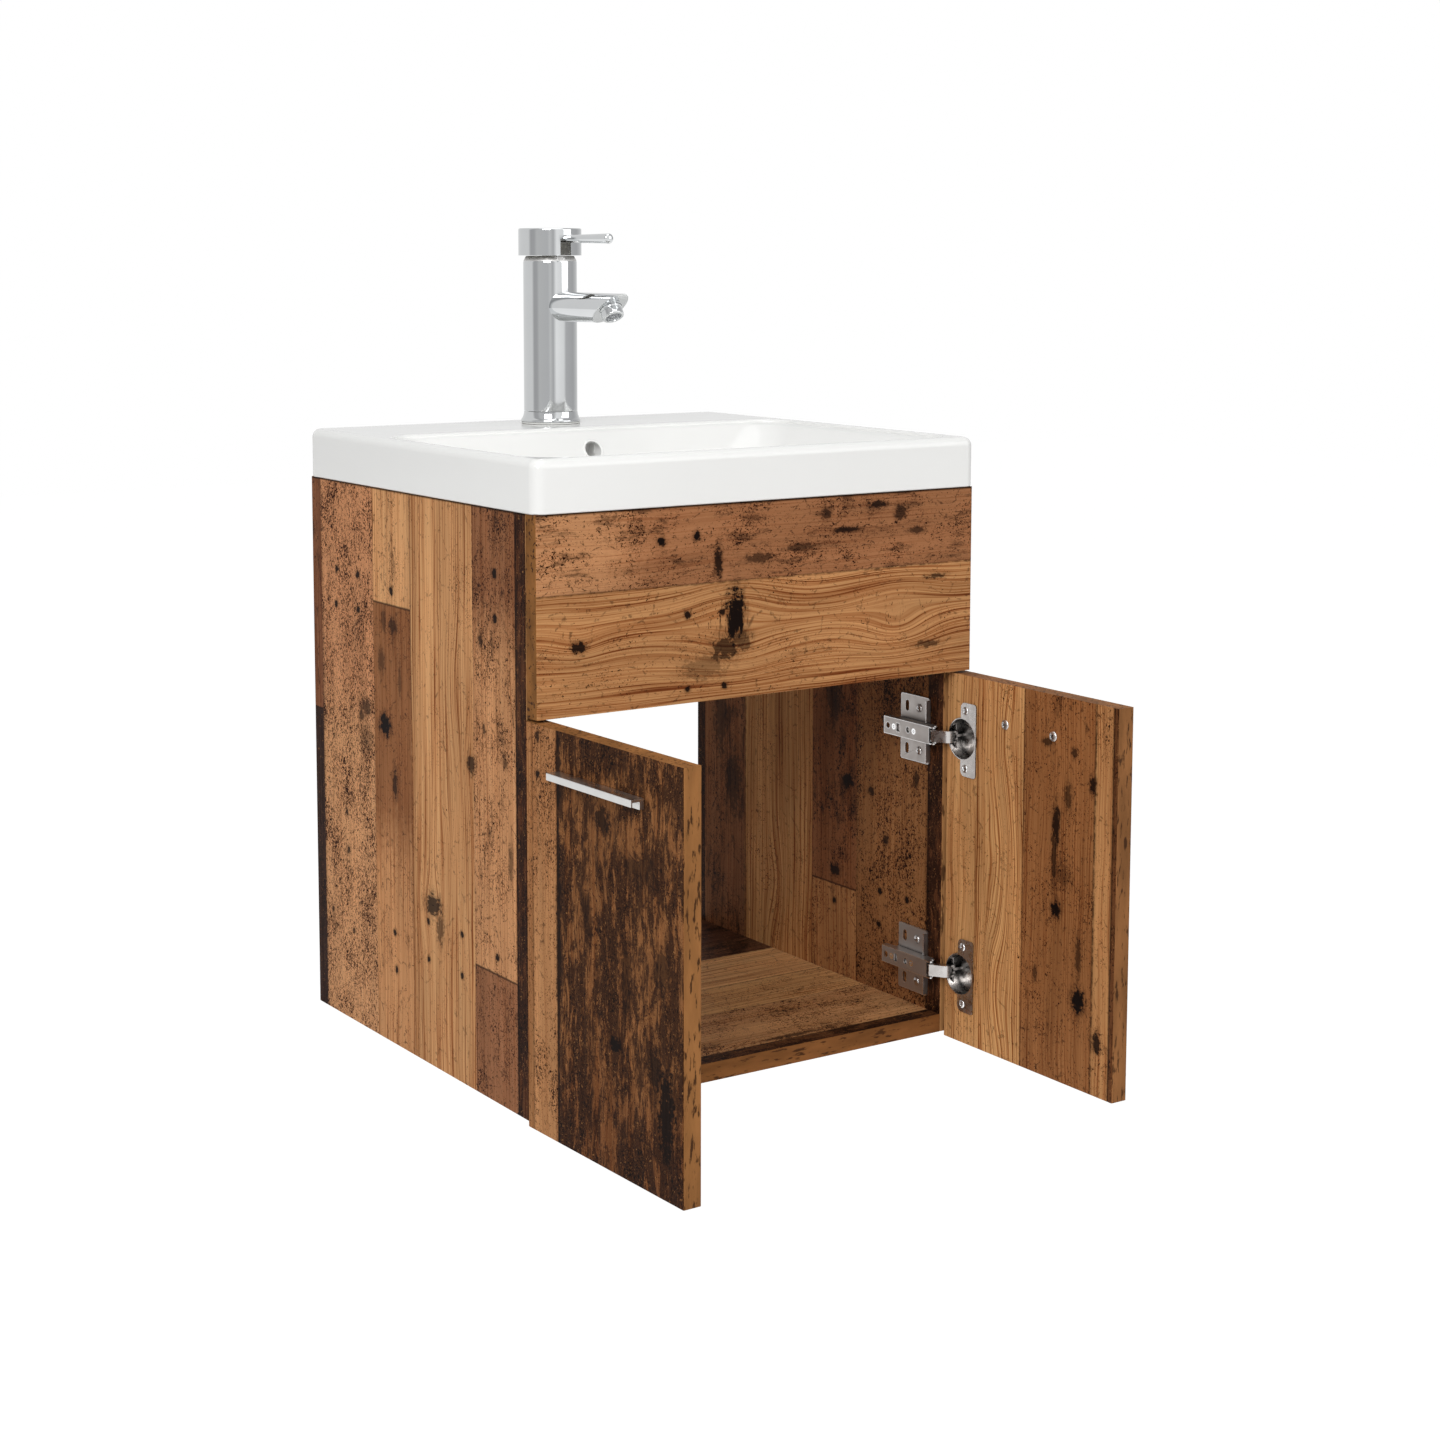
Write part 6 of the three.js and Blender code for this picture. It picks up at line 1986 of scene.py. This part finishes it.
@dataclass
class HingeArms:
    """The plates and arms on the carcass, their screws, and the four links of each side."""

    finishes: Finishes
    screws: ScrewTree
    hinge_z: tuple[float, float] = (-353.5, -156.0)
    panel: float = 190.0
    plate_front: float = -349.0
    plate_thickness: float = 1.8
    seam: float = 0.3
    hole_setback: float = 13.0
    hole_spacing: float = 36.0
    arm_rear: float = -308.8
    arm_height: float = 12.0
    arm_metal: float = 1.1
    rear_screw: float = 5.5
    front_screw: float = 32.0

    def build(self, carcass: Carcass) -> None:
        """Make the fixed metal and the links.

        Args:
            carcass: gives the places of the bracket screws.
        """
        nickel, tumbled = self.finishes.nickel, self.finishes.tumbled
        for side in ("left", "right"):
            for level in ("lower", "upper"):
                for part, body, finish, edge in (
                    ("plate", "cabinet", nickel, 0.3), ("arm", "cabinet", nickel, 0.3),
                    ("outer_link", f"{side}_outer_links", tumbled, 0.22),
                    ("inner_link", f"{side}_inner_links", tumbled, 0.22),
                ):
                    softened(f"hinge_{side}_{level}_{part}", "plated", finish, body,
                             Edge(edge))
        plates, arms = self.screw_places()
        made = joined("cabinet screws", [
            self.screws.screws(PLATE_SCREW, plates, nickel, 3),
            self.screws.screws(ARM_SCREW, arms, nickel, 4),
            self.screws.screws(BRACKET_SCREW, carcass.screw_places(), self.finishes.zinc, 5),
        ])
        piece("cabinet_screws", made, None, "cabinet", (), Edge(0.12, 1, 35))

    def screw_places(self) -> tuple[list[Seat], list[Seat]]:
        """Heads on the plates and in the arms.

        Returns:
            Seats on the plates, and seats in the arms.
        """
        plates: list[Seat] = []
        arms: list[Seat] = []
        for sign in (-1.0, 1.0):
            on_plate = self.panel - self.seam - self.plate_thickness
            in_arm = self.panel - self.arm_height + self.arm_metal * 0.7
            for z in self.hinge_z:
                for step in (-1, 1):
                    plates.append(((sign * on_plate, self.plate_front + self.hole_setback,
                                    z + step * self.hole_spacing / 2), (-sign, 0.0, 0.0)))
                for back in (self.rear_screw, self.front_screw):
                    arms.append(((sign * in_arm, self.arm_rear - back, z), (-sign, 0.0, 0.0)))
        return plates, arms


# Lamps, floor, world and camera


@dataclass
class Studio:
    """White surroundings, soft lamps, and the camera at the photograph's viewing angle."""

    camera_at: Point = (-1.1090, -1.9466, 0.2427)
    yaw: float = 33.235
    pitch: float = 6.482
    lens: float = 62.668
    shift: tuple[float, float] = (0.03, -0.13)  # so that upright edges stay nearly upright
    floor: float = -0.86
    floor_half: float = 9.0
    target: Point = (0.0, -0.2, -0.12)  # what the lamps look at
    bands: tuple[tuple[float, str], ...] = (
        (0.000, "#b4b4b5"), (0.030, "#cacaca"), (0.140, "#c6c6c7"), (0.165, "#d6d6d6"),
        (0.200, "#bdbdbe"), (0.235, "#ffffff"), (0.330, "#f2f2f2"), (0.360, "#c1c1c2"),
        (0.480, "#b8b8b9"), (0.640, "#e8e8e8"), (0.930, "#e4e4e4"), (0.960, "#b2b2b3"),
        (1.000, "#b4b4b5"),
    )  # brightness round the horizon, as metal mirrors it

    def build(self) -> None:
        """Set up everything that isn't the object."""
        self.camera()
        self.world()
        self.ground()
        self.lamp("key", (-1.9, -2.1, 1.5), 1.5, 52)
        self.lamp("fill", (1.6, -2.2, 0.9), 1.6, 12)
        self.lamp("top", (0.0, -0.5, 2.0), 1.6, 9)
        bpy.context.scene.view_settings.view_transform = "Standard"

    def camera(self) -> None:
        """Place the camera."""
        data = bpy.data.cameras.new("camera")
        data.lens = self.lens
        data.sensor_width = 36
        data.shift_x, data.shift_y = self.shift
        data.clip_start = 0.05
        thing = bpy.data.objects.new("camera", data)
        thing.location = self.camera_at
        thing.rotation_euler = (math.radians(90 - self.pitch), 0, -math.radians(self.yaw))
        bpy.context.scene.collection.objects.link(thing)
        bpy.context.scene.camera = thing

    def world(self) -> None:
        """White to the eye; in reflections it is banded like a studio with dark gaps."""
        world = bpy.data.worlds.new("studio")
        bpy.context.scene.world = world
        world.use_nodes = True
        g = Graph(world.node_tree)
        way = g.add("TexCoord", out="Generated")
        axes = g.add("SeparateXYZ", way, out=None)
        round_it = g.add("Math.ARCTAN2", axes.outputs["Y"], axes.outputs["X"])
        share = g.add("MapRange", round_it, -math.pi, math.pi)
        bands = g.add("ValToRGB", share, out=None)
        fill_ramp(bands, [(place, linear(colour)) for place, colour in self.bands])
        paths = g.add("LightPath", out=None)
        seen = g.add("Math.MAXIMUM", paths.outputs["Is Camera Ray"],
                     paths.outputs["Is Transmission Ray"])
        plain = g.add("Background", linear("#e9e9e9"), 0.46)
        mirror = g.add("Background", bands.outputs[0], 1.0)
        white = g.add("Background", linear("#ffffff"), 1.0)
        lit = g.add("MixShader", paths.outputs["Is Glossy Ray"], plain, mirror)
        all_ways = g.add("MixShader", seen, lit, white)
        g.add("OutputWorld", all_ways)

    def ground(self) -> None:
        """A pale floor well below the unit, white to the eye but for the unit's shadow."""
        far = self.floor_half / MM
        corners = [(-far, -far, 0), (far, -far, 0), (far, far, 0), (-far, far, 0)]
        mesh = shifted(mesh_of("floor", corners, [range(4)]), z=self.floor / MM)
        material, g = new_material("painted_floor")
        paths = g.add("LightPath", out=None)
        seen = g.add("Math.MAXIMUM", paths.outputs["Is Camera Ray"],
                     paths.outputs["Is Glossy Ray"])
        seen = g.add("Math.MAXIMUM", seen, paths.outputs["Is Transmission Ray"])
        matt = g.add("BsdfDiffuse", linear("#f2f2f2"))
        dimmer = g.add("BsdfDiffuse", linear("#808080"))
        glow = g.add("Emission", linear("#ffffff"), 0.92)
        bright = g.add("AddShader", dimmer, glow)
        mixed = g.add("MixShader", seen, matt, bright)
        behind = g.add("NewGeometry", out="Backfacing")
        clear = g.add("BsdfTransparent")
        g.add("OutputMaterial", g.add("MixShader", behind, mixed, clear))
        mesh.materials.append(material)
        thing = bpy.data.objects.new("floor", mesh)
        bpy.context.scene.collection.objects.link(thing)

    def lamp(self, name: str, at: Point, size: float, power: float) -> None:
        """A soft square lamp that looks at the middle of the unit.

        Args:
            name: of the lamp.
            at: its place in metres.
            size: its side in metres.
            power: in watts.
        """
        data = bpy.data.lights.new(name, "AREA")
        data.shape = "SQUARE"
        data.size = size
        data.energy = power
        thing = bpy.data.objects.new(name, data)
        thing.location = at
        way = Vector(self.target) - Vector(at)
        thing.rotation_euler = way.to_track_quat("-Z", "Y").to_euler()
        bpy.context.scene.collection.objects.link(thing)


def main() -> None:
    """Build the unit and its surroundings."""
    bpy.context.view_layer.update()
    Studio().build()
    finishes = Finishes()
    screws = ScrewTree()
    carcass = Carcass(finishes, screws)
    carcass.build()
    Basin(finishes).build()
    Tap(finishes).build()
    Waste(finishes).build()
    Door(finishes, screws, "left", 88.5).build()
    Door(finishes, screws, "right", 90.0).build()
    HingeArms(finishes, screws).build(carcass)


if __name__ == "__main__":
    logging.basicConfig(level=logging.INFO, format="%(name)s: %(message)s")
    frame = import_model()
    main()
